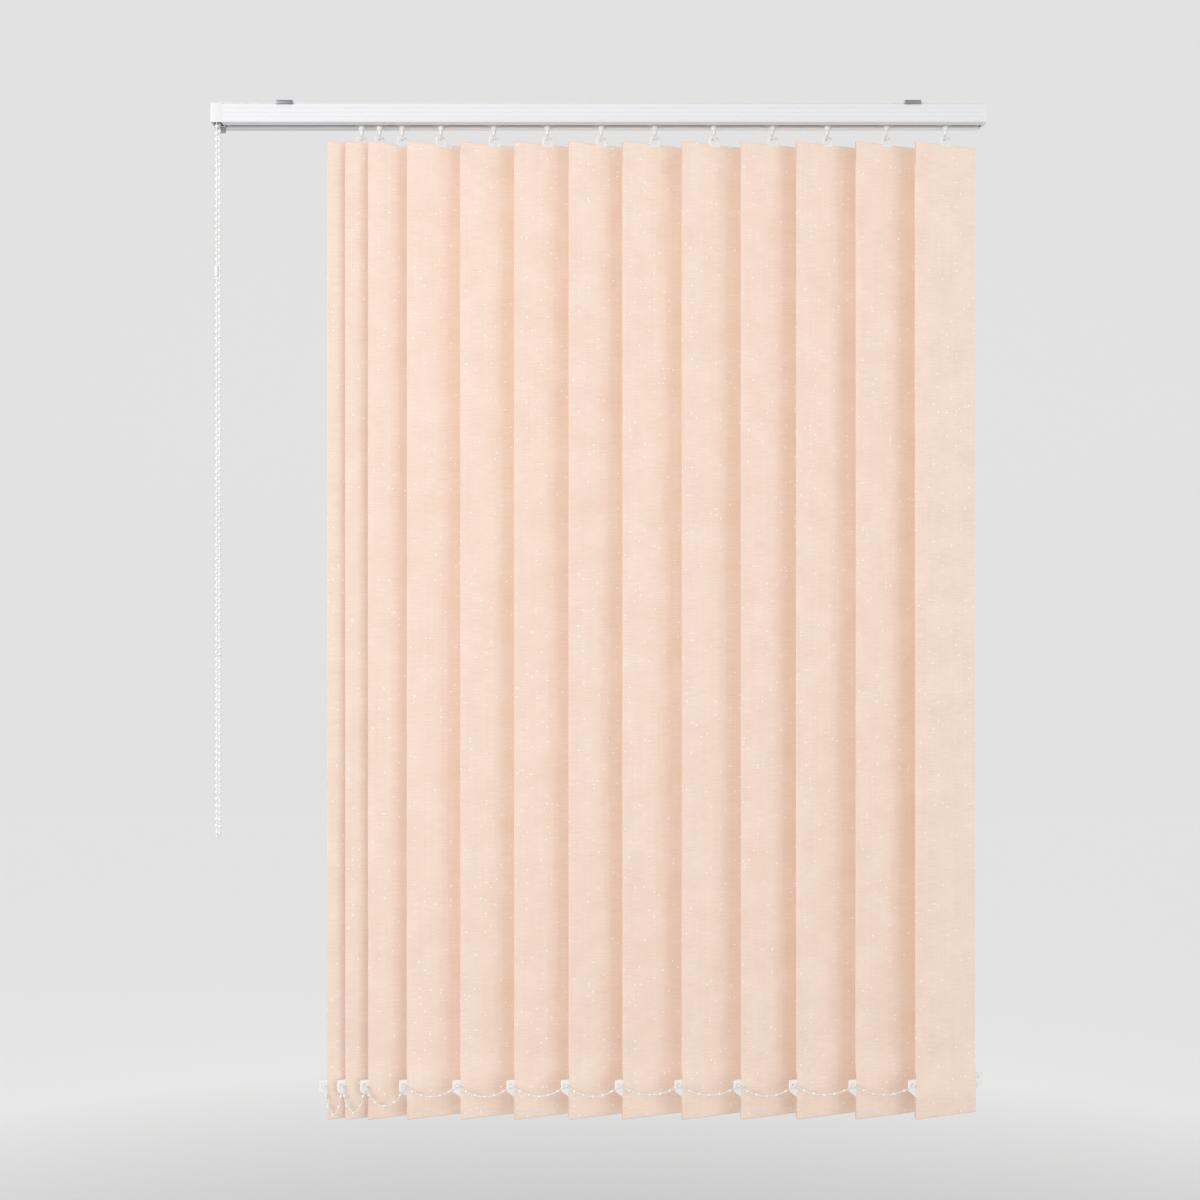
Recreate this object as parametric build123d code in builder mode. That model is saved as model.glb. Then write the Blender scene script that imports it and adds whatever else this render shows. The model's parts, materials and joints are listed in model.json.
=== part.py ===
from build123d import *
import math
import os

# A top-fixed vertical blind with thirteen fabric vanes, in millimetres.
# +X runs along the headrail to the right as seen from the room, -Y faces the room, +Z is up.
# The origin is at the middle of the rail's length, on the plane that the brackets are screwed to,
# above the line of the vanes' turning axes.

# ---- driving dimensions -------------------------------------------------------------------------
RAIL_LENGTH = 972.0  # over both end caps
RAIL_DEPTH = 40.0
RAIL_HEIGHT = 25.0
RAIL_WALL = 1.2
SLOT_WIDTH = 10.0
SLOT_RIB = 1.0  # the upturned edges of the slot
RAIL_EDGE_RADIUS = 1.6
FRONT_GROOVES = (7.5, 13.0, 18.5)  # depths below the rail's top
GROOVE_WIDTH = 0.9
GROOVE_DEPTH = 0.4
CONTROL_CAP = 15.0  # length of the cap over the chain wheel
END_CAP = 4.0
CAP_WALL = 1.5
SPIGOT = 4.0  # how far each cap reaches into the rail
FIT = 0.2  # between a spigot and the rail

PLATE = 1.6  # spring steel of the brackets
BRACKET_SPAN = 786.0  # between the two screw holes
BRACKET_WIDTH = 20.6
BRACKET_GAP = 0.4
CATCH_DROP = 1.4  # from the rail's top to its catch groove
CATCH_HEIGHT = 1.6
CATCH_DEPTH = 0.6
SCREW_HOLE = 4.5

VANE_WIDTH = 89.0
VANE_LENGTH = 1226.0
FABRIC = 0.6
REST_ANGLE = 22.0  # between each vane and the rail
LAST_FROM_END = 48.1  # the last vane's axis to the rail's right end
PITCHES = (22.5, 28.6, 48.7, 66.9, 67.5, 68.2, 67.5, 74.5, 73.9, 69.4, 74.5, 74.5)
POCKET_SPARE = 5.0  # height left above the weight in its pocket
POCKET_SEAM = 6.0  # height over which a pocket's two layers come together

TRUCK_LENGTH = 18.0
TRUCK_WIDTH = 26.0
TRUCK_HEIGHT = 13.2
RUN = 0.3  # running clearance of what turns or slides
ROD_RADIUS = 2.4
ROD_Y = -8.5
ROD_RISE = 12.5  # from the rail's bottom to the tilt rod
WORM_RADIUS = 3.6
WORM_LENGTH = 10.0
LANES = 4  # heights at which the spacers lie, so that stacked ones pass over each other
LANE_STEP = 1.5
SPACER_THICKNESS = 1.0
SPACER_LENGTH = 82.0
SPACER_WIDTH = 12.0

GEAR_RADIUS = 4.6
NECK_RADIUS = 2.2
BALL_RADIUS = 4.5
BALL_DROP = 2.4  # from the rail's bottom to the ball's centre
HOOK_DROP = 10.6  # from the rail's bottom to where the hook begins
HOOK_RADIUS = 1.1
HOOK_REACH = 2.5  # each leg of the hook from the vane's plane
EYE_WIDTH = 13.6
EYE_HEIGHT = 12.0
EYE_BAR = 2.0
EYE_DROP = 13.6  # from the rail's bottom to the top of the hanger's eye
HANGER_WIDTH = 83.0
HANGER_HEIGHT = 25.0
HANGER_THICKNESS = 1.5
HANGER_PLAY = 0.1  # on each face, in the pocket

WEIGHT_WIDTH = 83.0
WEIGHT_HEIGHT = 49.5
WEIGHT_THICKNESS = 2.0
TAB_REACH = 10.0  # beyond the vane's edge
TAB_STRAIGHT = 13.7
TAB_TAPER = 8.0
HOLE_INSET = 5.3  # the tab's hole, from the tab's outer edge
HOLE_DROP = 6.6  # and from its top
HOLE_WIDTH = 2.6
HOLE_HEIGHT = 4.0

LINK_CORD = 1.1  # diameter of the bottom chains' cord
CLIP_RADIUS = 1.3
CLIP_GAP = 0.1  # between a swag's end and the next swag's clip
CLIP_SPREAD = 0.65  # each swag's ends from the clips' centres, along the rail
PIN_RADIUS = 0.9
PIN_END = 0.8  # the pin's end, past the tab
# How far each swag hangs below its two hooks, from the first vane to the last.
SWAG_DROPS = (37.0, 34.5, 25.5, 14.0, 13.8, 13.5, 13.8, 11.5, 11.8, 13.2, 11.5, 11.5)
# A swag's route, as shares of its span and of its drop: a shallow one and a deep one.
SHALLOW = ((0, 0), (0.15, -0.52), (0.33, -0.89), (0.5, -1), (0.68, -0.88), (0.86, -0.5), (1, 0))
DEEP = (
    (0, 0),
    (0.06, -0.38),
    (0.2, -0.76),
    (0.4, -0.98),
    (0.61, -0.97),
    (0.81, -0.75),
    (0.95, -0.36),
    (1, 0),
)
DEEP_SPAN = 60.0  # a swag over a shorter span takes the deep route

CHAIN = 4.5  # diameter of the control chain's beads
CHAIN_LOOP = 15.5  # between its two strands
CHAIN_BOTTOM = 895.0  # from the rail's bottom to the lowest bead's centre
WHEEL_CORE = 5.2
WHEEL_FLANGE = 9.5
WHEEL_GROOVE = 5.2
FLANGE = 1.0
WHEEL_FROM_END = 7.5
CONNECTOR = 6.0  # diameter of the chain's connector
CONNECTOR_LENGTH = 13.2
CONNECTOR_DROP = 180.2  # from the rail's bottom to its top
GUIDE_LENGTH = 12.0
GUIDE_DEPTH = 9.0
GUIDE_HEIGHT = 6.0

# ---- what follows from them ---------------------------------------------------------------------
RAIL_TOP = -PLATE - BRACKET_GAP
RAIL_BOTTOM = RAIL_TOP - RAIL_HEIGHT
RAIL_FLOOR = RAIL_BOTTOM + RAIL_WALL
RAIL_LEFT = -RAIL_LENGTH / 2 + CONTROL_CAP
RAIL_RIGHT = RAIL_LENGTH / 2 - END_CAP
ROD_Z = RAIL_BOTTOM + ROD_RISE
TRUCK_BOTTOM = RAIL_FLOOR + SLOT_RIB + RUN
TRUCK_TOP = TRUCK_BOTTOM + TRUCK_HEIGHT
EYE_TOP = RAIL_BOTTOM - EYE_DROP
EYE_BOTTOM = EYE_TOP - EYE_HEIGHT
VANE_TOP = EYE_BOTTOM + EYE_BAR + RUN
VANE_BOTTOM = VANE_TOP - VANE_LENGTH
WEIGHT_BOTTOM = VANE_BOTTOM + FABRIC + RUN
WEIGHT_TOP = WEIGHT_BOTTOM + WEIGHT_HEIGHT
HOLE_X = VANE_WIDTH / 2 + TAB_REACH - HOLE_INSET
HOLE_Z = WEIGHT_TOP - HOLE_DROP
LEAN = math.radians(REST_ANGLE)
# A clip's ball stands so far off the weight's plane that the chain passes the tab's outer corner.
CLIP_OUT = HOLE_INSET * math.tan(LEAN) + WEIGHT_THICKNESS / 2 + (LINK_CORD / 2 + RUN) / math.cos(LEAN)
WHEEL_X = -RAIL_LENGTH / 2 + WHEEL_FROM_END
LAST_X = RAIL_LENGTH / 2 - LAST_FROM_END
VANE_X = [LAST_X - sum(PITCHES[i:]) for i in range(len(PITCHES) + 1)]

os.makedirs("parts", exist_ok=True)


def save(name, piece):
    """Label a finished builder's part and write it as one STEP file."""
    piece.part.label = name
    export_step(piece.part, f"parts/{name}.step")


def save_placed(name, pieces, x, angle=0.0):
    """Write copies of the pieces together, moved along the rail and turned about the upright axis."""
    with BuildPart() as placed:
        with Locations(Location((x, 0, 0), (0, 0, angle))):
            for piece in pieces:
                add(piece)
    save(name, placed)


# ---- headrail, caps and brackets ----------------------------------------------------------------
def rail_inside(gap=0.0, mode=Mode.ADD):
    """The rail's hollow as a sketch rectangle, smaller by a gap all round."""
    middle = (RAIL_TOP + RAIL_BOTTOM) / 2
    wall = RAIL_WALL + gap
    with Locations((0, middle)):
        Rectangle(RAIL_DEPTH - 2 * wall, RAIL_HEIGHT - 2 * wall, mode=mode)


def spigot_outline():
    """What fits in the rail's hollow, clear of the slot's upturned edges."""
    rail_inside(FIT)
    with Locations((0, RAIL_FLOOR + (SLOT_RIB + FIT) / 2)):
        Rectangle(SLOT_WIDTH + 2 * (RAIL_WALL + FIT), SLOT_RIB + FIT, mode=Mode.SUBTRACT)


def rail_outline():
    """The rail's outer rectangle with its two top edges rounded."""
    with Locations((0, (RAIL_TOP + RAIL_BOTTOM) / 2)):
        outer = Rectangle(RAIL_DEPTH, RAIL_HEIGHT)
    fillet(outer.vertices().group_by(Axis.Y)[-1], RAIL_EDGE_RADIUS)


def catch_grooves():
    """The two grooves near the rail's top in which the brackets' toes catch."""
    for side in (-1, 1):
        with Locations((side * (RAIL_DEPTH - CATCH_DEPTH) / 2, RAIL_TOP - CATCH_DROP - CATCH_HEIGHT / 2)):
            Rectangle(CATCH_DEPTH, CATCH_HEIGHT, mode=Mode.SUBTRACT)


with BuildPart() as headrail:
    with BuildSketch(Plane.YZ.offset(RAIL_LEFT)):
        rail_outline()
        rail_inside(mode=Mode.SUBTRACT)
        with Locations((0, RAIL_BOTTOM + RAIL_WALL / 2)):
            Rectangle(SLOT_WIDTH, RAIL_WALL, mode=Mode.SUBTRACT)
        for side in (-1, 1):
            with Locations((side * (SLOT_WIDTH + RAIL_WALL) / 2, RAIL_FLOOR + SLOT_RIB / 2)):
                Rectangle(RAIL_WALL, SLOT_RIB)
        for drop in FRONT_GROOVES:
            with Locations((-(RAIL_DEPTH - GROOVE_DEPTH) / 2, RAIL_TOP - drop)):
                Rectangle(GROOVE_DEPTH, GROOVE_WIDTH, mode=Mode.SUBTRACT)
        catch_grooves()
    extrude(amount=RAIL_RIGHT - RAIL_LEFT)
save("headrail", headrail)

CAP_INNER_X = RAIL_LEFT - CAP_WALL  # inner face of the wall between the chain wheel and the rail
CHAIN_EXIT_FRONT = -RAIL_DEPTH / 2 + RAIL_WALL
CHAIN_EXIT_BACK = ROD_Y + CHAIN_LOOP / 2 + CHAIN / 2 + 0.5
with BuildPart() as control_cap:
    with BuildSketch(Plane.YZ.offset(-RAIL_LENGTH / 2)):
        rail_outline()
    extrude(amount=CONTROL_CAP)
    with BuildSketch(Plane.YZ.offset(RAIL_LEFT)):
        spigot_outline()
    extrude(amount=SPIGOT)
    with BuildSketch(Plane.YZ.offset(-RAIL_LENGTH / 2 + CAP_WALL)):
        rail_inside()
    extrude(amount=CONTROL_CAP - 2 * CAP_WALL, mode=Mode.SUBTRACT)
    with BuildSketch(Plane.XY.offset(RAIL_BOTTOM)):
        with Locations((WHEEL_X, (CHAIN_EXIT_FRONT + CHAIN_EXIT_BACK) / 2)):
            Rectangle(CONTROL_CAP - 2 * CAP_WALL, CHAIN_EXIT_BACK - CHAIN_EXIT_FRONT)
    extrude(amount=RAIL_WALL, mode=Mode.SUBTRACT)
    with BuildSketch(Plane.YZ.offset(CAP_INNER_X)):
        with Locations((ROD_Y, ROD_Z)):
            Circle(ROD_RADIUS + RUN)
    extrude(amount=CAP_WALL + SPIGOT, mode=Mode.SUBTRACT)
    fillet(control_cap.faces().sort_by(Axis.X)[0].edges().group_by(Axis.Z)[-1], RAIL_EDGE_RADIUS - 0.2)
save("control_cap", control_cap)

ROD_END = 2.0  # of the rod in the end cap's blind bore
with BuildPart() as end_cap:
    with BuildSketch(Plane.YZ.offset(RAIL_RIGHT)):
        rail_outline()
    extrude(amount=END_CAP)
    with BuildSketch(Plane.YZ.offset(RAIL_RIGHT)):
        spigot_outline()
    extrude(amount=-SPIGOT)
    with BuildSketch(Plane.YZ.offset(RAIL_RIGHT - SPIGOT)):
        with Locations((ROD_Y, ROD_Z)):
            Circle(ROD_RADIUS + RUN)
    extrude(amount=SPIGOT + ROD_END + 0.5, mode=Mode.SUBTRACT)
save("end_cap", end_cap)

LIP = RAIL_DEPTH / 2 + BRACKET_GAP  # inner face of each lip
TOE = RAIL_TOP - CATCH_DROP - RUN  # top of each toe
with BuildPart() as bracket:
    with BuildSketch(Plane.YZ):
        with BuildLine():
            half = Polyline(
                (0, 0),
                (LIP + PLATE, 0),
                (LIP + PLATE, TOE - CATCH_HEIGHT + 2 * RUN),
                (RAIL_DEPTH / 2 - CATCH_DEPTH + RUN, TOE - CATCH_HEIGHT + 2 * RUN),
                (RAIL_DEPTH / 2 - CATCH_DEPTH + RUN, TOE),
                (LIP, TOE),
                (LIP, -PLATE),
                (0, -PLATE),
            )
            mirror(half, about=Plane.YZ)
        make_face()
    extrude(amount=BRACKET_WIDTH / 2, both=True)
    with Locations((0, 0, -PLATE / 2)):
        Hole(SCREW_HOLE / 2)
    fillet(bracket.edges().filter_by(Axis.Z).group_by(Axis.Y)[0], 0.8)
save_placed("bracket_left", [bracket.part], -BRACKET_SPAN / 2)
save_placed("bracket_right", [bracket.part], BRACKET_SPAN / 2)

# ---- tilt drive and control chain ---------------------------------------------------------------
ROD_LEFT = WHEEL_X - WHEEL_GROOVE / 2 - FLANGE
with BuildPart() as tilt_rod:
    with BuildSketch(Plane.YZ.offset(ROD_LEFT)):
        with Locations((ROD_Y, ROD_Z)):
            RegularPolygon(ROD_RADIUS, 6)
    extrude(amount=RAIL_RIGHT + ROD_END - ROD_LEFT)
save("tilt_rod", tilt_rod)

with BuildPart() as chain_wheel:
    with BuildSketch(Plane.YZ.offset(WHEEL_X)):
        with Locations((ROD_Y, ROD_Z)):
            Circle(WHEEL_CORE)
    extrude(amount=WHEEL_GROOVE / 2, both=True)
    for side in (-1, 1):
        with BuildSketch(Plane.YZ.offset(WHEEL_X + side * WHEEL_GROOVE / 2)):
            with Locations((ROD_Y, ROD_Z)):
                Circle(WHEEL_FLANGE)
        extrude(amount=side * FLANGE)
    with BuildSketch(Plane.YZ.offset(WHEEL_X)):
        with Locations((ROD_Y, ROD_Z)):
            Circle(ROD_RADIUS + 0.05)
    extrude(amount=WHEEL_GROOVE / 2 + FLANGE, both=True, mode=Mode.SUBTRACT)
save("chain_wheel", chain_wheel)

# The control chain leaves its connector's top, goes over the wheel, down the back strand, round
# the bottom and up to the connector's other end.
FRONT_STRAND = ROD_Y - CHAIN_LOOP / 2
BACK_STRAND = ROD_Y + CHAIN_LOOP / 2
CONNECTOR_TOP = RAIL_BOTTOM - CONNECTOR_DROP
LOOP_CENTRE = RAIL_BOTTOM - CHAIN_BOTTOM + CHAIN_LOOP / 2
with BuildPart() as control_chain:
    with BuildLine(Plane.YZ.offset(WHEEL_X)) as chain_route:
        Line((FRONT_STRAND, CONNECTOR_TOP), (FRONT_STRAND, ROD_Z))
        CenterArc((ROD_Y, ROD_Z), CHAIN_LOOP / 2, 180, -180)
        Line((BACK_STRAND, ROD_Z), (BACK_STRAND, LOOP_CENTRE))
        CenterArc((ROD_Y, LOOP_CENTRE), CHAIN_LOOP / 2, 0, -180)
        Line((FRONT_STRAND, LOOP_CENTRE), (FRONT_STRAND, CONNECTOR_TOP - CONNECTOR_LENGTH))
    chain_path = chain_route.wire()
    with BuildSketch(Plane(chain_path @ 0, z_dir=chain_path % 0)):
        Circle(CHAIN / 2)
    sweep(path=chain_path)
save("control_chain", control_chain)
expected = chain_path.length * math.pi * CHAIN**2 / 4
print("control chain", round(chain_path.length, 1), "with radii", CHAIN_LOOP / 2)
print("its volume over section times length", round(control_chain.part.volume / expected, 4))

with BuildPart() as chain_connector:
    with BuildSketch(Plane.XY.offset(CONNECTOR_TOP)):
        with Locations((WHEEL_X, FRONT_STRAND)):
            Circle(CONNECTOR / 2)
    extrude(amount=-CONNECTOR_LENGTH)
    fillet(chain_connector.edges(), 0.6)
save("chain_connector", chain_connector)

GUIDE_FRONT = CHAIN_EXIT_BACK + 0.3
with BuildPart() as chain_guide:
    with BuildSketch(Plane.XY.offset(RAIL_BOTTOM)):
        with Locations((WHEEL_X, GUIDE_FRONT + GUIDE_DEPTH / 2)):
            RectangleRounded(GUIDE_LENGTH, GUIDE_DEPTH, 2.0)
    extrude(amount=-GUIDE_HEIGHT)
    fillet(chain_guide.edges().group_by(Axis.Z)[0], 1.5)
save("chain_guide", chain_guide)

# ---- carriers -----------------------------------------------------------------------------------
RUNNER = 3.8  # width of the ribs on which a truck slides
RUNNER_HEIGHT = 5.5
GEAR_FLOOR = ROD_Z - 3.5
with BuildPart() as truck:
    with BuildSketch(Plane.XY.offset(TRUCK_BOTTOM)):
        Rectangle(TRUCK_LENGTH, TRUCK_WIDTH)
    extrude(amount=TRUCK_HEIGHT)
    fillet(truck.edges().filter_by(Axis.Z), 1.5)
    for side in (-1, 1):
        with BuildSketch(Plane.XY.offset(RAIL_FLOOR + RUN)):
            with Locations((0, side * (TRUCK_WIDTH + RUNNER) / 2)):
                Rectangle(TRUCK_LENGTH - 4, RUNNER + 0.2)
        extrude(amount=RUNNER_HEIGHT)
    with BuildSketch(Plane.XY.offset(GEAR_FLOOR)):
        Circle(GEAR_RADIUS + RUN)
    extrude(amount=TRUCK_TOP - GEAR_FLOOR, mode=Mode.SUBTRACT)
    with BuildSketch(Plane.YZ):
        with Locations((ROD_Y, ROD_Z)):
            Circle(WORM_RADIUS + RUN)
    extrude(amount=WORM_LENGTH / 2 + RUN, both=True, mode=Mode.SUBTRACT)
    with BuildSketch(Plane.YZ):
        with Locations((ROD_Y, ROD_Z)):
            Circle(ROD_RADIUS + RUN)
    extrude(amount=TRUCK_LENGTH / 2, both=True, mode=Mode.SUBTRACT)
    with BuildSketch(Plane.XY.offset(TRUCK_BOTTOM)):
        Circle(NECK_RADIUS + RUN)
    extrude(amount=GEAR_FLOOR - TRUCK_BOTTOM, mode=Mode.SUBTRACT)

with BuildPart() as worm:
    with BuildSketch(Plane.YZ):
        with Locations((ROD_Y, ROD_Z)):
            Circle(WORM_RADIUS)
            Circle(ROD_RADIUS + RUN, mode=Mode.SUBTRACT)
    extrude(amount=WORM_LENGTH / 2, both=True)

POST_INNER = SPACER_WIDTH / 2 + 1.5  # past the other trucks' spacers
POST_WIDTH = 3.0
POST_LENGTH = 4.0


def make_spacer(lane):
    """The strip that reaches from a truck to its left neighbour, at one of the lanes' heights."""
    foot = TRUCK_TOP + 0.1
    bottom = foot + 0.5 + lane * LANE_STEP
    with BuildPart() as spacer:
        with BuildSketch(Plane.XY.offset(bottom)):
            with Locations((POST_LENGTH - SPACER_LENGTH / 2, 0)):
                Rectangle(SPACER_LENGTH, SPACER_WIDTH)
            with Locations((0, (POST_INNER + POST_WIDTH) / 2)):
                Rectangle(POST_LENGTH, POST_INNER + POST_WIDTH)
        extrude(amount=SPACER_THICKNESS)
        with BuildSketch(Plane.XY.offset(foot)):
            with Locations((0, POST_INNER + POST_WIDTH / 2)):
                Rectangle(POST_LENGTH, POST_WIDTH)
        extrude(amount=bottom - foot + SPACER_THICKNESS)
    return spacer.part


for number, x in enumerate(VANE_X, start=1):
    spacer = [make_spacer(number % LANES)] if number > 1 else []  # the first truck has no left neighbour
    save_placed(f"carrier_{number:02}", [truck.part, worm.part, *spacer], x)

# ---- hook stem, hanger and weight, which turn with a vane -----------------------------------------
BALL_Z = RAIL_BOTTOM - BALL_DROP
HOOK_TOP = RAIL_BOTTOM - HOOK_DROP
HOOK_FLOOR = EYE_TOP - EYE_BAR - RUN - HOOK_RADIUS  # centre line of the hook's lowest run
with BuildPart() as stem:
    with BuildSketch(Plane.XY.offset(GEAR_FLOOR + RUN)):
        Circle(GEAR_RADIUS)
    extrude(amount=2 * (ROD_Z - GEAR_FLOOR - RUN))
    with BuildSketch(Plane.XY.offset(BALL_Z)):
        Circle(NECK_RADIUS)
    extrude(amount=GEAR_FLOOR + RUN - BALL_Z)
    with BuildSketch(Plane.XY.offset(HOOK_TOP)):
        Circle(NECK_RADIUS - 0.1)
    extrude(amount=BALL_Z - HOOK_TOP)
    with Locations((0, 0, BALL_Z)):
        Sphere(BALL_RADIUS)
    with BuildLine(Plane.YZ) as hook_route:
        FilletPolyline(
            (0, HOOK_TOP + 1.5),
            (0, HOOK_TOP - 0.2),
            (HOOK_REACH, HOOK_TOP - 1.6),
            (HOOK_REACH, HOOK_FLOOR),
            (-HOOK_REACH, HOOK_FLOOR),
            (-HOOK_REACH, HOOK_FLOOR + 2.8),
            radius=(1.2, 1.2, 1.3, 1.3),
        )
    hook_path = hook_route.wire()
    with BuildSketch(Plane(hook_path @ 0, z_dir=hook_path % 0)):
        Circle(HOOK_RADIUS)
    sweep(path=hook_path)

HANGER_TOP = VANE_TOP - FABRIC - RUN
with BuildPart() as hanger:
    with BuildSketch(Plane.XZ):
        with Locations((0, HANGER_TOP - HANGER_HEIGHT / 2)):
            RectangleRounded(HANGER_WIDTH, HANGER_HEIGHT, 3.0)
        with Locations((0, EYE_TOP - EYE_HEIGHT / 2)):
            Rectangle(EYE_WIDTH, EYE_HEIGHT)
            Rectangle(EYE_WIDTH - 2 * EYE_BAR, EYE_HEIGHT - 2 * EYE_BAR, mode=Mode.SUBTRACT)
    extrude(amount=HANGER_THICKNESS / 2, both=True)

TAB_HALF = VANE_WIDTH / 2 + TAB_REACH
TAPER_END = WEIGHT_TOP - TAB_STRAIGHT - TAB_TAPER
with BuildPart() as weight:
    with BuildSketch(Plane.XZ):
        with BuildLine():
            side_line = Polyline(
                (0, WEIGHT_BOTTOM),
                (WEIGHT_WIDTH / 2, WEIGHT_BOTTOM),
                (WEIGHT_WIDTH / 2, TAPER_END - 3),
                (VANE_WIDTH / 2, TAPER_END),
                (TAB_HALF, WEIGHT_TOP - TAB_STRAIGHT),
                (TAB_HALF, WEIGHT_TOP),
                (0, WEIGHT_TOP),
            )
            mirror(side_line, about=Plane.YZ)
        make_face()
        with Locations((-HOLE_X, HOLE_Z), (HOLE_X, HOLE_Z)):
            Ellipse(HOLE_WIDTH / 2, HOLE_HEIGHT / 2, mode=Mode.SUBTRACT)
    extrude(amount=WEIGHT_THICKNESS / 2, both=True)
    fillet(weight.edges().filter_by(Axis.Y).group_by(Axis.Z)[-1], 1.5)

# ---- fabric vane ----------------------------------------------------------------------------------
TOP_INNER = HANGER_THICKNESS / 2 + HANGER_PLAY
BOTTOM_INNER = WEIGHT_THICKNESS / 2 + HANGER_PLAY
TOP_CAVITY = HANGER_HEIGHT + 2 * RUN
BOTTOM_CAVITY = WEIGHT_HEIGHT + RUN + POCKET_SPARE
TOP_SEAM = VANE_TOP - FABRIC - TOP_CAVITY
BOTTOM_SEAM = VANE_BOTTOM + FABRIC + BOTTOM_CAVITY
with BuildPart() as vane:
    with BuildSketch(Plane.YZ):
        with BuildLine():
            face_line = Polyline(
                (0, VANE_TOP),
                (TOP_INNER + FABRIC, VANE_TOP),
                (TOP_INNER + FABRIC, TOP_SEAM),
                (FABRIC / 2, TOP_SEAM - POCKET_SEAM),
                (FABRIC / 2, BOTTOM_SEAM + POCKET_SEAM),
                (BOTTOM_INNER + FABRIC, BOTTOM_SEAM),
                (BOTTOM_INNER + FABRIC, VANE_BOTTOM),
                (0, VANE_BOTTOM),
            )
            mirror(face_line, about=Plane.YZ)
        make_face()
        with Locations((0, TOP_SEAM + TOP_CAVITY / 2)):
            Rectangle(2 * TOP_INNER, TOP_CAVITY, mode=Mode.SUBTRACT)
        with Locations((0, BOTTOM_SEAM - BOTTOM_CAVITY / 2)):
            Rectangle(2 * BOTTOM_INNER, BOTTOM_CAVITY, mode=Mode.SUBTRACT)
    extrude(amount=VANE_WIDTH / 2, both=True)
    with Locations((0, 0, VANE_TOP)):
        Box(EYE_WIDTH + 2 * RUN, 4 * TOP_INNER, 2 * (EYE_BAR + 2 * RUN), mode=Mode.SUBTRACT)

for number, x in enumerate(VANE_X, start=1):
    save_placed(f"vane_{number:02}", [vane.part], x, REST_ANGLE)
    save_placed(f"fittings_{number:02}", [stem.part, hanger.part, weight.part], x, REST_ANGLE)

# ---- bottom chains --------------------------------------------------------------------------------
HOOK_OFFSET_X = HOLE_X * math.cos(LEAN) - CLIP_OUT * math.sin(LEAN)
HOOK_OFFSET_Y = HOLE_X * math.sin(LEAN) + CLIP_OUT * math.cos(LEAN)


def smooth_route(points):
    """Points along the smooth curve that a route's corners guide."""
    corners = [Vector(*point) for point in points]
    last = len(corners) - 2
    spots = [corners[0]]
    for index in range(1, last + 1):
        start = corners[0] if index == 1 else (corners[index - 1] + corners[index]) / 2
        end = corners[-1] if index == last else (corners[index] + corners[index + 1]) / 2
        spots += [(start + corners[index] * 2 + end) / 4, end]
    return [(spot.X, spot.Y) for spot in spots]


def make_clip(number, side):
    """The clip at a vane's tab: a ball off its face, with the pin that goes through the tab's hole."""
    place = Vector(VANE_X[number] + side * HOOK_OFFSET_X, side * HOOK_OFFSET_Y, HOLE_Z)
    inward = Vector(side * math.sin(LEAN), -side * math.cos(LEAN), 0)
    with BuildPart(mode=Mode.PRIVATE) as clip:
        with Locations(Plane(place, x_dir=(0, 0, 1), z_dir=inward)):
            Sphere(CLIP_RADIUS)
        with BuildSketch(Plane(place, x_dir=(0, 0, -1), z_dir=inward)):
            Circle(PIN_RADIUS)
        extrude(amount=CLIP_OUT + WEIGHT_THICKNESS / 2 + PIN_END)
    return clip.part


def make_swag(index, side):
    """One swag of chain with its left clip: side is -1 for the room side and +1 for the back."""
    left = VANE_X[index] + side * HOOK_OFFSET_X + CLIP_SPREAD
    span = PITCHES[index] - 2 * CLIP_SPREAD
    shares = DEEP if span < DEEP_SPAN else SHALLOW
    points = [(left + a * span, HOLE_Z + b * SWAG_DROPS[index]) for a, b in shares]
    back = (Vector(*points[-2]) - Vector(*points[-1])).normalized()
    end = Vector(*points[-1]) + back * (CLIP_RADIUS + CLIP_GAP)
    points[-1] = (end.X, end.Y)
    with BuildPart() as swag:
        with BuildLine(Plane.XZ.offset(-side * HOOK_OFFSET_Y)) as route:
            Polyline(*smooth_route(points))
        path = route.wire()
        with BuildSketch(Plane(path @ 0, z_dir=path % 0)):
            Circle(LINK_CORD / 2)
        sweep(path=path, transition=Transition.RIGHT)
        expected = path.length * math.pi * LINK_CORD**2 / 4
        share = swag.part.volume / expected
        print("swag", index + 1, "length", round(path.length, 1), "volume share", round(share, 4))
        add(make_clip(index, side))
    return swag.part


FREE_SWAGS = 3  # the swags between the first four vanes, whose carriers slide one by one
for side, label in ((-1, "front"), (1, "rear")):
    for index in range(FREE_SWAGS):
        with BuildPart() as one:
            add(make_swag(index, side))
        save(f"{label}_chain_{index + 1:02}", one)
    with BuildPart() as rest:
        for index in range(FREE_SWAGS, len(PITCHES)):
            add(make_swag(index, side))
        add(make_clip(len(PITCHES), side))
    save(f"{label}_chain_{FREE_SWAGS + 1:02}", rest)
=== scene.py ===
"""The finished look of a top-fixed vertical blind with thirteen fabric vanes."""

import json
import logging
import math
from collections.abc import Iterable, Sequence
from dataclasses import dataclass, field
from enum import Enum

import bmesh
import bpy
from mathutils import Matrix, Vector


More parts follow.
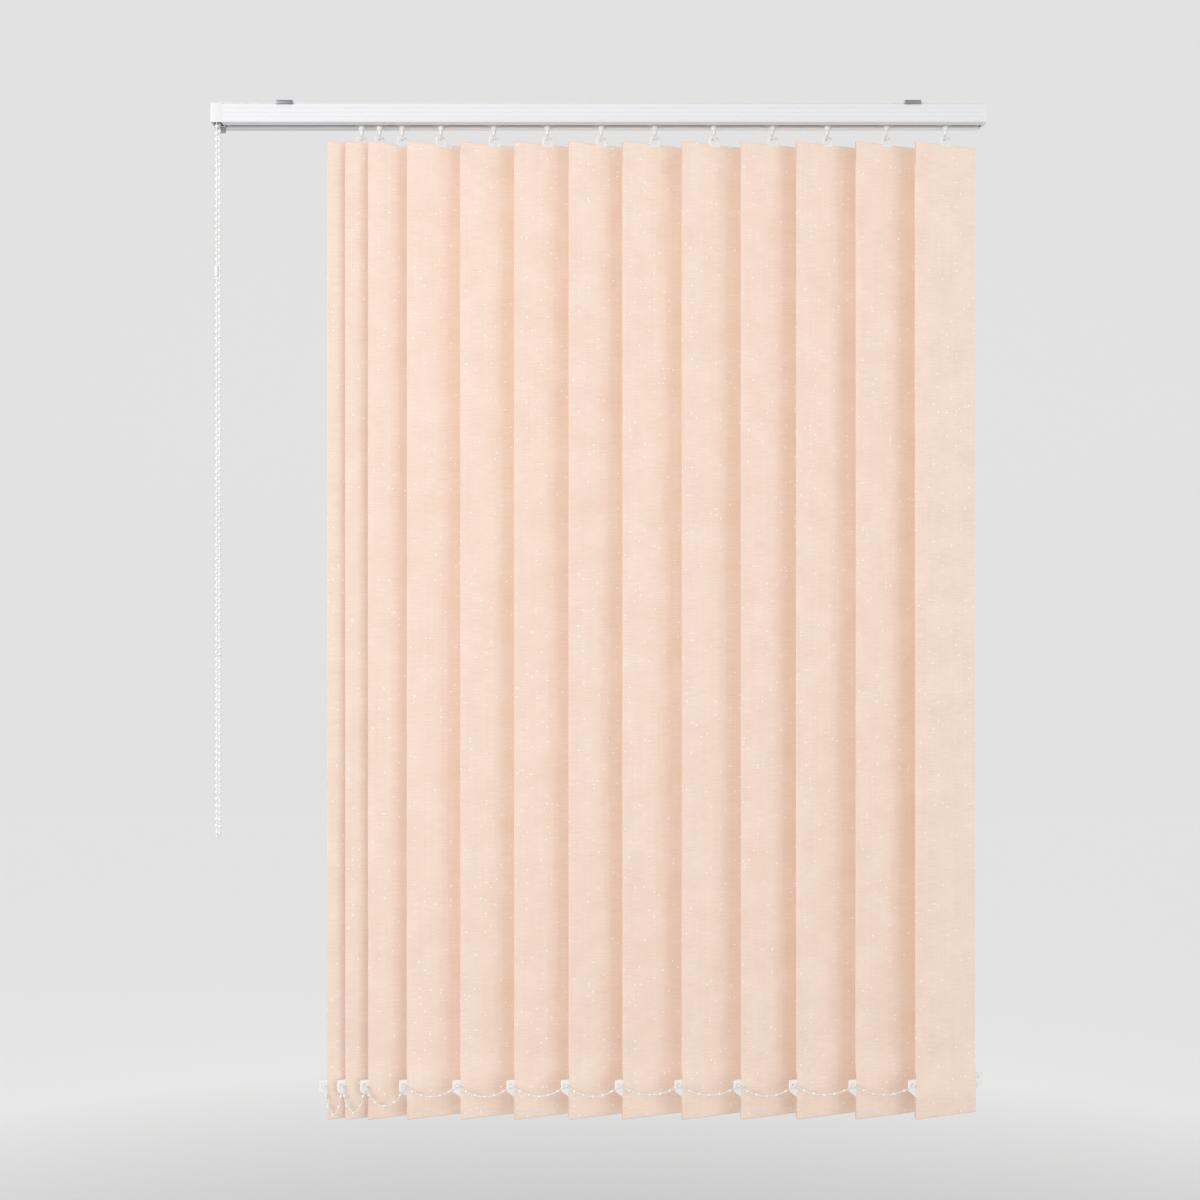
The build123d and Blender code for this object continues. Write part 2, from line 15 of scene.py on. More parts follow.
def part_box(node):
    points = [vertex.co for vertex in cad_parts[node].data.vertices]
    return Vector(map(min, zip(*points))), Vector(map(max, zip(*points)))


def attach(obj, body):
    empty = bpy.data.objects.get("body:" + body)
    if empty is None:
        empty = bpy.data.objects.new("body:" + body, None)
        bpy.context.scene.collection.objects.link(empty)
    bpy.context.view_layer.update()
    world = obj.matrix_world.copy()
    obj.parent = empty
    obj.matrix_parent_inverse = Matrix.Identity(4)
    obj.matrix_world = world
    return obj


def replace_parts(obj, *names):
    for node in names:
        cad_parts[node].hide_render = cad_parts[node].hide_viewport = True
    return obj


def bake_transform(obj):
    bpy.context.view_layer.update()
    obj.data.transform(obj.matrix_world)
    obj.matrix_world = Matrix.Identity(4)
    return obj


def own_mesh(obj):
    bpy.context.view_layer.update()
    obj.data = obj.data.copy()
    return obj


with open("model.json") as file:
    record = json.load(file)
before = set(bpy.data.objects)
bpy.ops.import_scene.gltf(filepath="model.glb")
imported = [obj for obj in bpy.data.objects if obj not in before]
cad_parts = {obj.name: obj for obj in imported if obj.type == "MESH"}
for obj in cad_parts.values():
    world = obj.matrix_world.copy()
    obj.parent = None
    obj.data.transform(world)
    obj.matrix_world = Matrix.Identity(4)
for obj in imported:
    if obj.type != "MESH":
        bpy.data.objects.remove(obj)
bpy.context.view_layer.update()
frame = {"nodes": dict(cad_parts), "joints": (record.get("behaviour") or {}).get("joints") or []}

log = logging.getLogger("blind")
MM = 0.001
VANES = 13
REST_ANGLE = math.radians(22.0)
FREE_SWAGS = 3  # the swags between carriers that slide one by one
WEIGHT_HEIGHT = 49.5 * MM
HEM_FLOOR = 0.9 * MM  # from a vane's bottom to its weight's bottom
HOLE_DROP = 6.6 * MM  # from a weight's top to the holes that the chains clip to
WELD = 1e-6  # corners nearer than this are one
Point = tuple[float, float, float]
Flat = tuple[float, float]


# ---- small helpers ------------------------------------------------------------------------------
def srgb(red: int, green: int, blue: int) -> tuple[float, float, float, float]:
    """Turn a screen colour into linear light.

    Args:
        red: The red channel, 0 to 255.
        green: The green channel.
        blue: The blue channel.

    Returns:
        The linear colour with full alpha.
    """

    def linear(value: int) -> float:
        """One channel as linear light."""
        share = value / 255
        return share / 12.92 if share <= 0.04045 else ((share + 0.055) / 1.055) ** 2.4

    return linear(red), linear(green), linear(blue), 1.0


def add_object(name: str, data: bpy.types.ID) -> bpy.types.Object:
    """Put a mesh, curve, light or camera in the scene as a new object at the origin.

    Args:
        name: The object's name.
        data: What it shows.

    Returns:
        The new object.
    """
    made = bpy.data.objects.new(name, data)
    bpy.context.scene.collection.objects.link(made)
    return made


def plain_mesh(source: bpy.types.Object, name: str) -> bpy.types.Object:
    """Replace an object by a plain mesh of what it shows, with no modifiers.

    Args:
        source: The object, which is removed.
        name: The name of the new object.

    Returns:
        A mesh object at the origin.
    """
    bpy.context.view_layer.update()
    graph = bpy.context.evaluated_depsgraph_get()
    mesh = bpy.data.meshes.new_from_object(source.evaluated_get(graph), depsgraph=graph)
    mesh.transform(source.matrix_world)
    bpy.data.objects.remove(source)
    mesh.name = name
    return add_object(name, mesh)


def merged(name: str, parts: Sequence[bpy.types.Object]) -> bpy.types.Object:
    """Join plain mesh objects into one, keeping each one's material.

    Args:
        name: The new object's name.
        parts: The objects, which are removed.

    Returns:
        The joined mesh object.
    """
    build = bmesh.new()
    materials: list[bpy.types.Material] = []
    for part in parts:
        start = len(build.faces)
        build.from_mesh(part.data)
        build.faces.ensure_lookup_table()
        own = part.data.materials[0] if part.data.materials else None
        if own and own not in materials:
            materials.append(own)
        for face in build.faces[start:]:
            face.material_index = materials.index(own) if own else 0
    mesh = bpy.data.meshes.new(name)
    build.to_mesh(mesh)
    build.free()
    for material in materials:
        mesh.materials.append(material)
    for part in parts:
        bpy.data.objects.remove(part)
    return add_object(name, mesh)


def smooth(piece: bpy.types.Object, angle: float = 35.0) -> bpy.types.Object:
    """Shade a mesh smoothly, with its sharp edges left crisp.

    Args:
        piece: The mesh object.
        angle: The angle in degrees past which an edge is sharp.

    Returns:
        The same object.
    """
    build = bmesh.new()
    build.from_mesh(piece.data)
    for face in build.faces:
        face.smooth = True
    limit = math.radians(angle)
    for edge in build.edges:
        edge.smooth = len(edge.link_faces) == 2 and edge.calc_face_angle(0.0) < limit
    build.to_mesh(piece.data)
    build.free()
    return piece


def paint(piece: bpy.types.Object, material: bpy.types.Material) -> bpy.types.Object:
    """Give a mesh one material all over.

    Args:
        piece: The mesh object.
        material: The finish.

    Returns:
        The same object.
    """
    piece.data.materials.clear()
    piece.data.materials.append(material)
    return piece


def lathe(name: str, profile: Sequence[Flat], sides: int = 32) -> bpy.types.Object:
    """Turn a profile about the upright axis into a closed mesh.

    Args:
        name: The new object's name.
        profile: Points as (radius, height), in order.
        sides: How many faces go round.

    Returns:
        The turned mesh object.
    """
    build = bmesh.new()
    rings = []
    for radius, height in profile:
        ring = []
        for step in range(sides):
            turn = 2 * math.pi * step / sides
            ring.append(build.verts.new((radius * math.cos(turn), radius * math.sin(turn), height)))
        rings.append(ring)
    for lower, upper in zip(rings, rings[1:]):
        for step in range(sides):
            ahead = (step + 1) % sides
            build.faces.new((lower[step], lower[ahead], upper[ahead], upper[step]))
    build.faces.new(rings[0])
    build.faces.new(rings[-1])
    bmesh.ops.recalc_face_normals(build, faces=build.faces)
    mesh = bpy.data.meshes.new(name)
    build.to_mesh(mesh)
    build.free()
    return smooth(add_object(name, mesh))


def rounded(points: Sequence[Flat], radius: float, steps: int = 5) -> list[Flat]:
    """Round every corner of a closed outline.

    Args:
        points: The outline's corners in order.
        radius: The radius at each corner, less where a side is short.
        steps: Points on each arc.

    Returns:
        The outline with each corner as an arc.
    """
    out: list[Flat] = []
    count = len(points)
    for index, corner in enumerate(points):
        here = Vector(corner)
        before = Vector(points[index - 1]) - here
        after = Vector(points[(index + 1) % count]) - here
        half = before.angle(after) / 2
        reach = min(radius / math.tan(half), 0.45 * before.length, 0.45 * after.length)
        first, last = here + before.normalized() * reach, here + after.normalized() * reach
        for step in range(steps + 1):
            share = step / steps
            bend = first * (1 - share) ** 2 + here * 2 * share * (1 - share) + last * share**2
            out.append((bend.x, bend.y))
    return out


def plate(name: str, outlines: Sequence[Sequence[Flat]], thickness: float, edge: float) -> bpy.types.Object:
    """Make an upright plate, facing the room, from an outline and its holes.

    Args:
        name: The new object's name.
        outlines: The outer outline and then each hole, as (x, z) points.
        thickness: The plate's thickness.
        edge: The size of its rounded edges.

    Returns:
        A plain mesh.
    """
    curve = bpy.data.curves.new(name, "CURVE")
    curve.dimensions = "2D"
    curve.fill_mode = "BOTH"
    curve.extrude = thickness / 2 - edge
    curve.bevel_depth = edge
    curve.bevel_resolution = 2
    curve.offset = -edge
    for outline in outlines:
        spline = curve.splines.new("POLY")
        spline.points.add(len(outline) - 1)
        for point, (across, up) in zip(spline.points, outline):
            point.co = (across, up, 0.0, 1.0)
        spline.use_cyclic_u = True
    flat = add_object(name, curve)
    flat.matrix_world = Matrix.Rotation(math.pi / 2, 4, "X")
    made = plain_mesh(flat, name)
    build = bmesh.new()
    build.from_mesh(made.data)
    bmesh.ops.remove_doubles(build, verts=build.verts, dist=WELD)
    bmesh.ops.recalc_face_normals(build, faces=build.faces)
    build.to_mesh(made.data)
    build.free()
    return smooth(made)


def tube(name: str, points: Sequence[Point], radius: float, rounds: int = 4) -> bpy.types.Object:
    """Make a smooth round wire along a route.

    Args:
        name: The new object's name.
        points: The route's control points.
        radius: The wire's radius.
        rounds: How finely its section is rounded.

    Returns:
        The wire as a plain mesh.
    """
    curve = route_curve(name, points)
    curve.bevel_depth = radius
    curve.bevel_resolution = rounds
    curve.use_fill_caps = True
    return smooth(plain_mesh(add_object(name, curve), name), 60.0)


def route_curve(name: str, points: Sequence[Point]) -> bpy.types.Curve:
    """Make one open, smooth spline.

    Args:
        name: The new curve's name.
        points: Its control points.

    Returns:
        The curve, with no thickness yet.
    """
    curve = bpy.data.curves.new(name, "CURVE")
    curve.dimensions = "3D"
    curve.resolution_u = 10
    spline = curve.splines.new("NURBS")
    spline.points.add(len(points) - 1)
    for place, point in zip(spline.points, points):
        place.co = (*point, 1.0)
    spline.order_u = 3
    spline.use_endpoint_u = True
    return curve


def route_line(points: Sequence[Point]) -> list[Vector]:
    """Find the smooth line that a route's spline follows.

    Args:
        points: The spline's control points.

    Returns:
        The points of the line, from end to end.
    """
    bare = add_object("route", route_curve("route", points))
    bpy.context.view_layer.update()
    graph = bpy.context.evaluated_depsgraph_get()
    mesh = bpy.data.meshes.new_from_object(bare.evaluated_get(graph), depsgraph=graph)
    line = [vertex.co.copy() for vertex in mesh.vertices]
    bpy.data.objects.remove(bare)
    bpy.data.meshes.remove(mesh)
    return line


def line_length(line: Sequence[Vector]) -> float:
    """The length of a line of points."""
    return sum((after - before).length for before, after in zip(line, line[1:]))


def softened(node: str, edge: float, material: bpy.types.Material) -> bpy.types.Object:
    """Make a copy of a CAD node with rounded edges, which stands for it.

    Args:
        node: The CAD node.
        edge: The width of the rounding.
        material: The finish.

    Returns:
        The new piece, with the node hidden.
    """
    build = bmesh.new()
    build.from_mesh(frame["nodes"][node].data)
    bmesh.ops.remove_doubles(build, verts=build.verts, dist=WELD)
    bmesh.ops.dissolve_limit(build, angle_limit=math.radians(1.0), verts=build.verts, edges=build.edges)
    mesh = bpy.data.meshes.new(node)
    build.to_mesh(mesh)
    build.free()
    rough = add_object(f"{node}_rough", mesh)
    bevel = rough.modifiers.new("edges", "BEVEL")
    bevel.width = edge
    bevel.segments = 3
    bevel.limit_method = "ANGLE"
    bevel.angle_limit = math.radians(40.0)
    bevel.harden_normals = False
    piece = smooth(plain_mesh(rough, f"{node}_shell"))
    paint(piece, material)
    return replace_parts(piece, node)


# ---- shader groups and finishes -------------------------------------------------------------------
class NodeBench:
    """A node tree with short ways to add nodes and join them."""

    def __init__(self, tree: bpy.types.NodeTree) -> None:
        """Work on a tree."""
        self.tree = tree

    def add(self, kind: str, **settings: object) -> bpy.types.Node:
        """Add a node and set its properties.

        Args:
            kind: The node's type.
            **settings: Its properties by name.

        Returns:
            The new node.
        """
        node = self.tree.nodes.new(kind)
        for key, value in settings.items():
            setattr(node, key, value)
        return node

    def join(self, source: bpy.types.NodeSocket, target: bpy.types.NodeSocket) -> None:
        """Link two sockets."""
        self.tree.links.new(source, target)

    def math(self, operation: str, first: object, second: object = 0.0) -> bpy.types.NodeSocket:
        """Add a Math node.

        Args:
            operation: What it does.
            first: A socket or a number.
            second: A socket or a number.

        Returns:
            Its output.
        """
        node = self.add("ShaderNodeMath", operation=operation)
        for socket, value in zip(node.inputs, (first, second)):
            if isinstance(value, bpy.types.NodeSocket):
                self.join(value, socket)
            else:
                socket.default_value = value
        return node.outputs[0]

    def noise(
        self, vector: bpy.types.NodeSocket, scale: object, detail: float = 3.0
    ) -> bpy.types.NodeSocket:
        """Add a Noise Texture.

        Args:
            vector: Where it is read.
            scale: A socket or a number.
            detail: How many finer layers it has.

        Returns:
            Its value.
        """
        node = self.add("ShaderNodeTexNoise")
        node.inputs["Detail"].default_value = detail
        self.join(vector, node.inputs["Vector"])
        if isinstance(scale, bpy.types.NodeSocket):
            self.join(scale, node.inputs["Scale"])
        else:
            node.inputs["Scale"].default_value = scale
        return node.outputs["Fac"]

    def stretch(self, vector: bpy.types.NodeSocket, scale: Point) -> bpy.types.NodeSocket:
        """Scale each axis of a vector.

        Args:
            vector: The vector.
            scale: The scale along each axis.

        Returns:
            The scaled vector.
        """
        node = self.add("ShaderNodeMapping")
        node.inputs["Scale"].default_value = scale
        self.join(vector, node.inputs["Vector"])
        return node.outputs["Vector"]

    def span(self, value: bpy.types.NodeSocket, span: Flat, result: Flat) -> bpy.types.NodeSocket:
        """Map a value from one range to another, clamped.

        Args:
            value: The value.
            span: The range it comes from.
            result: The range it goes to.

        Returns:
            The mapped value.
        """
        node = self.add("ShaderNodeMapRange")
        self.join(value, node.inputs["Value"])
        for index, number in enumerate((*span, *result), start=1):
            node.inputs[index].default_value = number
        return node.outputs["Result"]


class SharedGroups:
    """The shader groups that several finishes use, each built once."""

    def __init__(self) -> None:
        """Build them."""
        self.grain = self._grain()
        self.weave = self._weave()

    @staticmethod
    def _new(
        name: str, inputs: dict[str, tuple[str, object]], outputs: dict[str, str]
    ) -> tuple[NodeBench, bpy.types.Node, bpy.types.Node]:
        """Start a group with named sockets.

        Args:
            name: The group's name.
            inputs: Each input's socket type and default.
            outputs: Each output's socket type.

        Returns:
            The bench, the group's input node and its output node.
        """
        tree = bpy.data.node_groups.new(name, "ShaderNodeTree")
        for key, (kind, value) in inputs.items():
            socket = tree.interface.new_socket(key, in_out="INPUT", socket_type=kind)
            if value is not None:
                socket.default_value = value
        for key, kind in outputs.items():
            tree.interface.new_socket(key, in_out="OUTPUT", socket_type=kind)
        bench = NodeBench(tree)
        return bench, bench.add("NodeGroupInput"), bench.add("NodeGroupOutput")

    def _grain(self) -> bpy.types.NodeTree:
        """Build the group for plastics and coated metal.

        Returns:
            A tree that gives an uneven tone, an uneven roughness and the height of a fine grain.
        """
        bench, given, out = self._new(
            "surface_grain",
            {
                "Vector": ("NodeSocketVector", None),
                "Grain Scale": ("NodeSocketFloat", 900.0),
                "Patch Scale": ("NodeSocketFloat", 9.0),
                "Roughness": ("NodeSocketFloat", 0.4),
                "Spread": ("NodeSocketFloat", 0.08),
            },
            {"Tone": "NodeSocketFloat", "Roughness": "NodeSocketFloat", "Height": "NodeSocketFloat"},
        )
        grain = bench.noise(given.outputs["Vector"], given.outputs["Grain Scale"], 2.0)
        patch = bench.noise(given.outputs["Vector"], given.outputs["Patch Scale"], 4.0)
        uneven = bench.math("MULTIPLY", bench.math("SUBTRACT", patch, 0.5), given.outputs["Spread"])
        fine = bench.math("MULTIPLY", bench.math("SUBTRACT", grain, 0.5), given.outputs["Spread"])
        both = bench.math("ADD", uneven, bench.math("MULTIPLY", fine, 0.4))
        shift = bench.math("MULTIPLY", both, 2.0)
        rough = bench.math("ADD", given.outputs["Roughness"], shift)
        bench.join(rough, out.inputs["Roughness"])
        bench.join(bench.span(patch, (0.3, 0.7), (0.0, 1.0)), out.inputs["Tone"])
        bench.join(grain, out.inputs["Height"])
        return bench.tree

    def _weave(self) -> bpy.types.NodeTree:
        """Build the group for a close plain weave, on a cloth map in metres.

        Returns:
            A tree that gives the tone of uneven cross threads, scattered flecks and the weave's height.
        """
        bench, given, out = self._new(
            "close_weave",
            {"Cloth": ("NodeSocketVector", None), "Fleck Size": ("NodeSocketFloat", 0.17)},
            {"Tone": "NodeSocketFloat", "Fleck": "NodeSocketFloat", "Height": "NodeSocketFloat"},
        )
        cloth = given.outputs["Cloth"]
        slubs = bench.noise(bench.stretch(cloth, (55.0, 900.0, 1.0)), 1.0, 3.0)
        columns = bench.noise(bench.stretch(cloth, (260.0, 6.0, 1.0)), 1.0, 2.0)
        clouds = bench.noise(cloth, 24.0, 3.0)
        tone = bench.math("ADD", bench.math("MULTIPLY", slubs, 0.5), bench.math("MULTIPLY", columns, 0.15))
        tone = bench.math("ADD", tone, bench.math("MULTIPLY", clouds, 0.35))
        bench.join(bench.span(tone, (0.35, 0.65), (0.0, 1.0)), out.inputs["Tone"])
        cells = bench.add("ShaderNodeTexVoronoi", feature="F1")
        cells.inputs["Scale"].default_value = 150.0
        bench.join(cloth, cells.inputs["Vector"])
        near = bench.math("LESS_THAN", cells.outputs["Distance"], given.outputs["Fleck Size"])
        split = bench.add("ShaderNodeSeparateColor")
        bench.join(cells.outputs["Color"], split.inputs["Color"])
        crowd = bench.noise(cloth, 32.0, 1.0)
        limit = bench.math("SUBTRACT", 1.12, bench.math("MULTIPLY", crowd, 0.8))
        chosen = bench.math("GREATER_THAN", split.outputs[0], limit)
        bench.join(bench.math("MULTIPLY", near, chosen), out.inputs["Fleck"])
        warp = bench.add("ShaderNodeTexWave", wave_type="BANDS", bands_direction="X")
        warp.inputs["Scale"].default_value = 520.0
        bench.join(cloth, warp.inputs["Vector"])
        weft = bench.add("ShaderNodeTexWave", wave_type="BANDS", bands_direction="Y")
        weft.inputs["Scale"].default_value = 460.0
        weft.inputs["Distortion"].default_value = 1.5
        bench.join(cloth, weft.inputs["Vector"])
        height = bench.math("ADD", bench.math("MULTIPLY", warp.outputs["Fac"], 0.3), weft.outputs["Fac"])
        bench.join(bench.math("ADD", height, bench.math("MULTIPLY", slubs, 1.2)), out.inputs["Height"])
        return bench.tree


@dataclass(frozen=True)
class Finish:
    """A moulded or coated surface.

    The tones are the colour at the grain's dark and light patches.
    The stretch scales the grain along each axis.
    """

    name: str
    dark: tuple[int, int, int]
    light: tuple[int, int, int]
    roughness: float = 0.4
    metallic: float = 0.0
    coat: float = 0.0
    bump: float = 0.03
    grain: float = 900.0
    patch: float = 9.0
    spread: float = 0.08
    stretch: Point = (1.0, 1.0, 1.0)
    subsurface: float = 0.0
    bump_depth: float = 0.4 * MM
    glow_depth: float = 3.0 * MM

    def build(self, groups: SharedGroups) -> bpy.types.Material:
        """Make the material.

        Args:
            groups: The shared shader groups.

        Returns:
            The finished material.
        """
        material = bpy.data.materials.new(self.name)
        material.use_nodes = True
        bench = NodeBench(material.node_tree)
        shader = material.node_tree.nodes["Principled BSDF"]
        place = bench.add("ShaderNodeTexCoord").outputs["Object"]
        group = bench.add("ShaderNodeGroup", node_tree=groups.grain)
        group.inputs["Grain Scale"].default_value = self.grain
        group.inputs["Patch Scale"].default_value = self.patch
        group.inputs["Roughness"].default_value = self.roughness
        group.inputs["Spread"].default_value = self.spread
        bench.join(bench.stretch(place, self.stretch), group.inputs["Vector"])
        ramp = bench.add("ShaderNodeValToRGB")
        ramp.color_ramp.elements[0].color = srgb(*self.dark)
        ramp.color_ramp.elements[1].color = srgb(*self.light)
        bench.join(group.outputs["Tone"], ramp.inputs["Fac"])
        bench.join(ramp.outputs["Color"], shader.inputs["Base Color"])
        bench.join(group.outputs["Roughness"], shader.inputs["Roughness"])
        bump = bench.add("ShaderNodeBump")
        bump.inputs["Strength"].default_value = self.bump
        bump.inputs["Distance"].default_value = self.bump_depth
        bench.join(group.outputs["Height"], bump.inputs["Height"])
        bench.join(bump.outputs["Normal"], shader.inputs["Normal"])
        shader.inputs["Metallic"].default_value = self.metallic
        shader.inputs["Coat Weight"].default_value = self.coat
        shader.inputs["Subsurface Weight"].default_value = self.subsurface
        shader.inputs["Subsurface Radius"].default_value = (self.glow_depth,) * 3
        return material


@dataclass(frozen=True)
class VaneCloth:
    """The vanes' peach cloth, with cross slubs and bright flecks."""

    name: str = "vane_cloth"
    dark: tuple[int, int, int] = (239, 213, 195)
    light: tuple[int, int, int] = (249, 229, 214)
    fleck: tuple[int, int, int] = (255, 248, 240)
    roughness: float = 0.82
    fleck_roughness: float = 0.25
    bump: float = 0.25
    bump_depth: float = 0.2 * MM
    specular: float = 0.2

    def build(self, groups: SharedGroups) -> bpy.types.Material:
        """Make the material.

        Args:
            groups: The shared shader groups.

        Returns:
            The finished material.
        """
        material = bpy.data.materials.new(self.name)
        material.use_nodes = True
        bench = NodeBench(material.node_tree)
        shader = material.node_tree.nodes["Principled BSDF"]
        cloth = bench.add("ShaderNodeUVMap", uv_map="cloth")
        weave = bench.add("ShaderNodeGroup", node_tree=groups.weave)
        bench.join(cloth.outputs["UV"], weave.inputs["Cloth"])
        ramp = bench.add("ShaderNodeValToRGB")
        ramp.color_ramp.elements[0].color = srgb(*self.dark)
        ramp.color_ramp.elements[1].color = srgb(*self.light)
        bench.join(weave.outputs["Tone"], ramp.inputs["Fac"])
        mix = bench.add("ShaderNodeMix", data_type="RGBA")
        mix.inputs["B"].default_value = srgb(*self.fleck)
        bench.join(weave.outputs["Fleck"], mix.inputs["Factor"])
        bench.join(ramp.outputs["Color"], mix.inputs["A"])
        bench.join(mix.outputs["Result"], shader.inputs["Base Color"])
        sheen = (self.roughness, self.fleck_roughness)
        bench.join(bench.span(weave.outputs["Fleck"], (0.0, 1.0), sheen), shader.inputs["Roughness"])
        bump = bench.add("ShaderNodeBump")
        bump.inputs["Strength"].default_value = self.bump
        bump.inputs["Distance"].default_value = self.bump_depth
        bench.join(weave.outputs["Height"], bump.inputs["Height"])
        bench.join(bump.outputs["Normal"], shader.inputs["Normal"])
        shader.inputs["Specular IOR Level"].default_value = self.specular
        return material


class Surface(Enum):
    """The finishes that the blind's pieces take."""

    RAIL = Finish(
        "coated_rail",
        (217, 217, 219),
        (223, 223, 225),
        0.38,
        coat=0.15,
        grain=1400.0,
        stretch=(0.05, 1.0, 1.0),
    )
    CAP = Finish("cap_plastic", (219, 219, 220), (226, 226, 227), 0.28, coat=0.2, bump=0.02)
    STEEL = Finish(
        "spring_steel", (128, 129, 132), (168, 169, 172), 0.36, 1.0, bump=0.08, stretch=(1.0, 0.1, 1.0)
    )
    ROD = Finish(
        "drawn_aluminium", (178, 179, 182), (205, 206, 208), 0.3, 1.0, bump=0.06, stretch=(0.05, 1.0, 1.0)
    )
    MECHANISM = Finish("mechanism_nylon", (214, 214, 209), (226, 226, 222), 0.5, bump=0.05)
    CHAIN = Finish("chain_beads", (232, 232, 231), (242, 242, 241), 0.3, coat=0.1, subsurface=0.1)
    STRING = Finish("chain_string", (222, 222, 220), (236, 236, 234), 0.7, bump=0.15, grain=2600.0)
    GUIDE = Finish("guide_plastic", (150, 152, 154), (176, 178, 180), 0.42, bump=0.04, subsurface=0.1)
    NYLON = Finish("clear_nylon", (205, 205, 203), (226, 226, 225), 0.3, coat=0.1, subsurface=0.3)
    WEIGHT = Finish("weight_plastic", (232, 232, 231), (240, 240, 239), 0.35, bump=0.04, coat=0.05)
    CLOTH = VaneCloth()


class Palette:
    """Builds each finish once, when it is first asked for."""

    def __init__(self) -> None:
        """Start with the shared groups and no materials."""
        self.groups = SharedGroups()
        self.made: dict[Surface, bpy.types.Material] = {}

    def get(self, surface: Surface) -> bpy.types.Material:
        """Find or make the material of a finish.

        Args:
            surface: The finish.

        Returns:
            Its material.
        """
        if surface not in self.made:
            self.made[surface] = surface.value.build(self.groups)
        return self.made[surface]


# ---- beads along a line, with Geometry Nodes --------------------------------------------------------
class BeadString:
    """A Geometry Nodes tree that sets round beads evenly along a line."""

    INPUTS = {
        "Count": ("NodeSocketInt", 5),
        "Start": ("NodeSocketFloat", 0.0),
        "End": ("NodeSocketFloat", 1.0),
        "Bead Radius": ("NodeSocketFloat", 0.002),
        "Material": ("NodeSocketMaterial", None),
    }

    def __init__(self) -> None:
        """Build the tree."""
        self.tree = bpy.data.node_groups.new("bead_string", "GeometryNodeTree")
        face = self.tree.interface
        face.new_socket("Geometry", in_out="INPUT", socket_type="NodeSocketGeometry")
        self.keys: dict[str, str] = {}
        for name, (kind, value) in self.INPUTS.items():
            socket = face.new_socket(name, in_out="INPUT", socket_type=kind)
            if value is not None:
                socket.default_value = value
            self.keys[name] = socket.identifier
        face.new_socket("Geometry", in_out="OUTPUT", socket_type="NodeSocketGeometry")
        bench = NodeBench(self.tree)
        given = bench.add("NodeGroupInput")
        out = bench.add("NodeGroupOutput")
        line = bench.add("GeometryNodeMeshToCurve")
        trim = bench.add("GeometryNodeTrimCurve", mode="FACTOR")
        spaced = bench.add("GeometryNodeCurveToPoints", mode="COUNT")
        ball = bench.add("GeometryNodeMeshIcoSphere")
        ball.inputs["Subdivisions"].default_value = 2
        copies = bench.add("GeometryNodeInstanceOnPoints")
        real = bench.add("GeometryNodeRealizeInstances")
        shade = bench.add("GeometryNodeSetShadeSmooth")
        dress = bench.add("GeometryNodeSetMaterial")
        bench.join(given.outputs["Geometry"], line.inputs[0])
        bench.join(line.outputs[0], trim.inputs["Curve"])
        bench.join(given.outputs["Start"], trim.inputs["Start"])
        bench.join(given.outputs["End"], trim.inputs["End"])
        bench.join(trim.outputs[0], spaced.inputs["Curve"])
        bench.join(given.outputs["Count"], spaced.inputs["Count"])
        bench.join(given.outputs["Bead Radius"], ball.inputs["Radius"])
        bench.join(spaced.outputs["Points"], copies.inputs["Points"])
        bench.join(ball.outputs["Mesh"], copies.inputs["Instance"])
        bench.join(copies.outputs[0], real.inputs[0])
        bench.join(real.outputs[0], shade.inputs[0])
        bench.join(shade.outputs[0], dress.inputs["Geometry"])
        bench.join(given.outputs["Material"], dress.inputs["Material"])
        bench.join(dress.outputs[0], out.inputs[0])

    def along(
        self,
        name: str,
        line: Sequence[Vector],
        count: int,
        ends: Flat,
        radius: float,
        material: bpy.types.Material,
    ) -> bpy.types.Object:
        """Beads along a line, as a plain mesh.

        Args:
            name: The new piece's name.
            line: The points of the line.
            count: How many beads.
            ends: The shares of the line at which the first and last bead sit.
            radius: Each bead's radius.
            material: The beads' finish.

        Returns:
            The beads.
        """
        mesh = bpy.data.meshes.new(f"{name}_line")
        links = [(index, index + 1) for index in range(len(line) - 1)]
        mesh.from_pydata([tuple(point) for point in line], links, [])
        wire = add_object(f"{name}_line", mesh)
        modifier = wire.modifiers.new("beads", "NODES")
        modifier.node_group = self.tree
        start, end = ends
        values = {"Count": count, "Start": start, "End": end, "Bead Radius": radius, "Material": material}
        for key, value in values.items():
            modifier[self.keys[key]] = value
        return plain_mesh(wire, name)


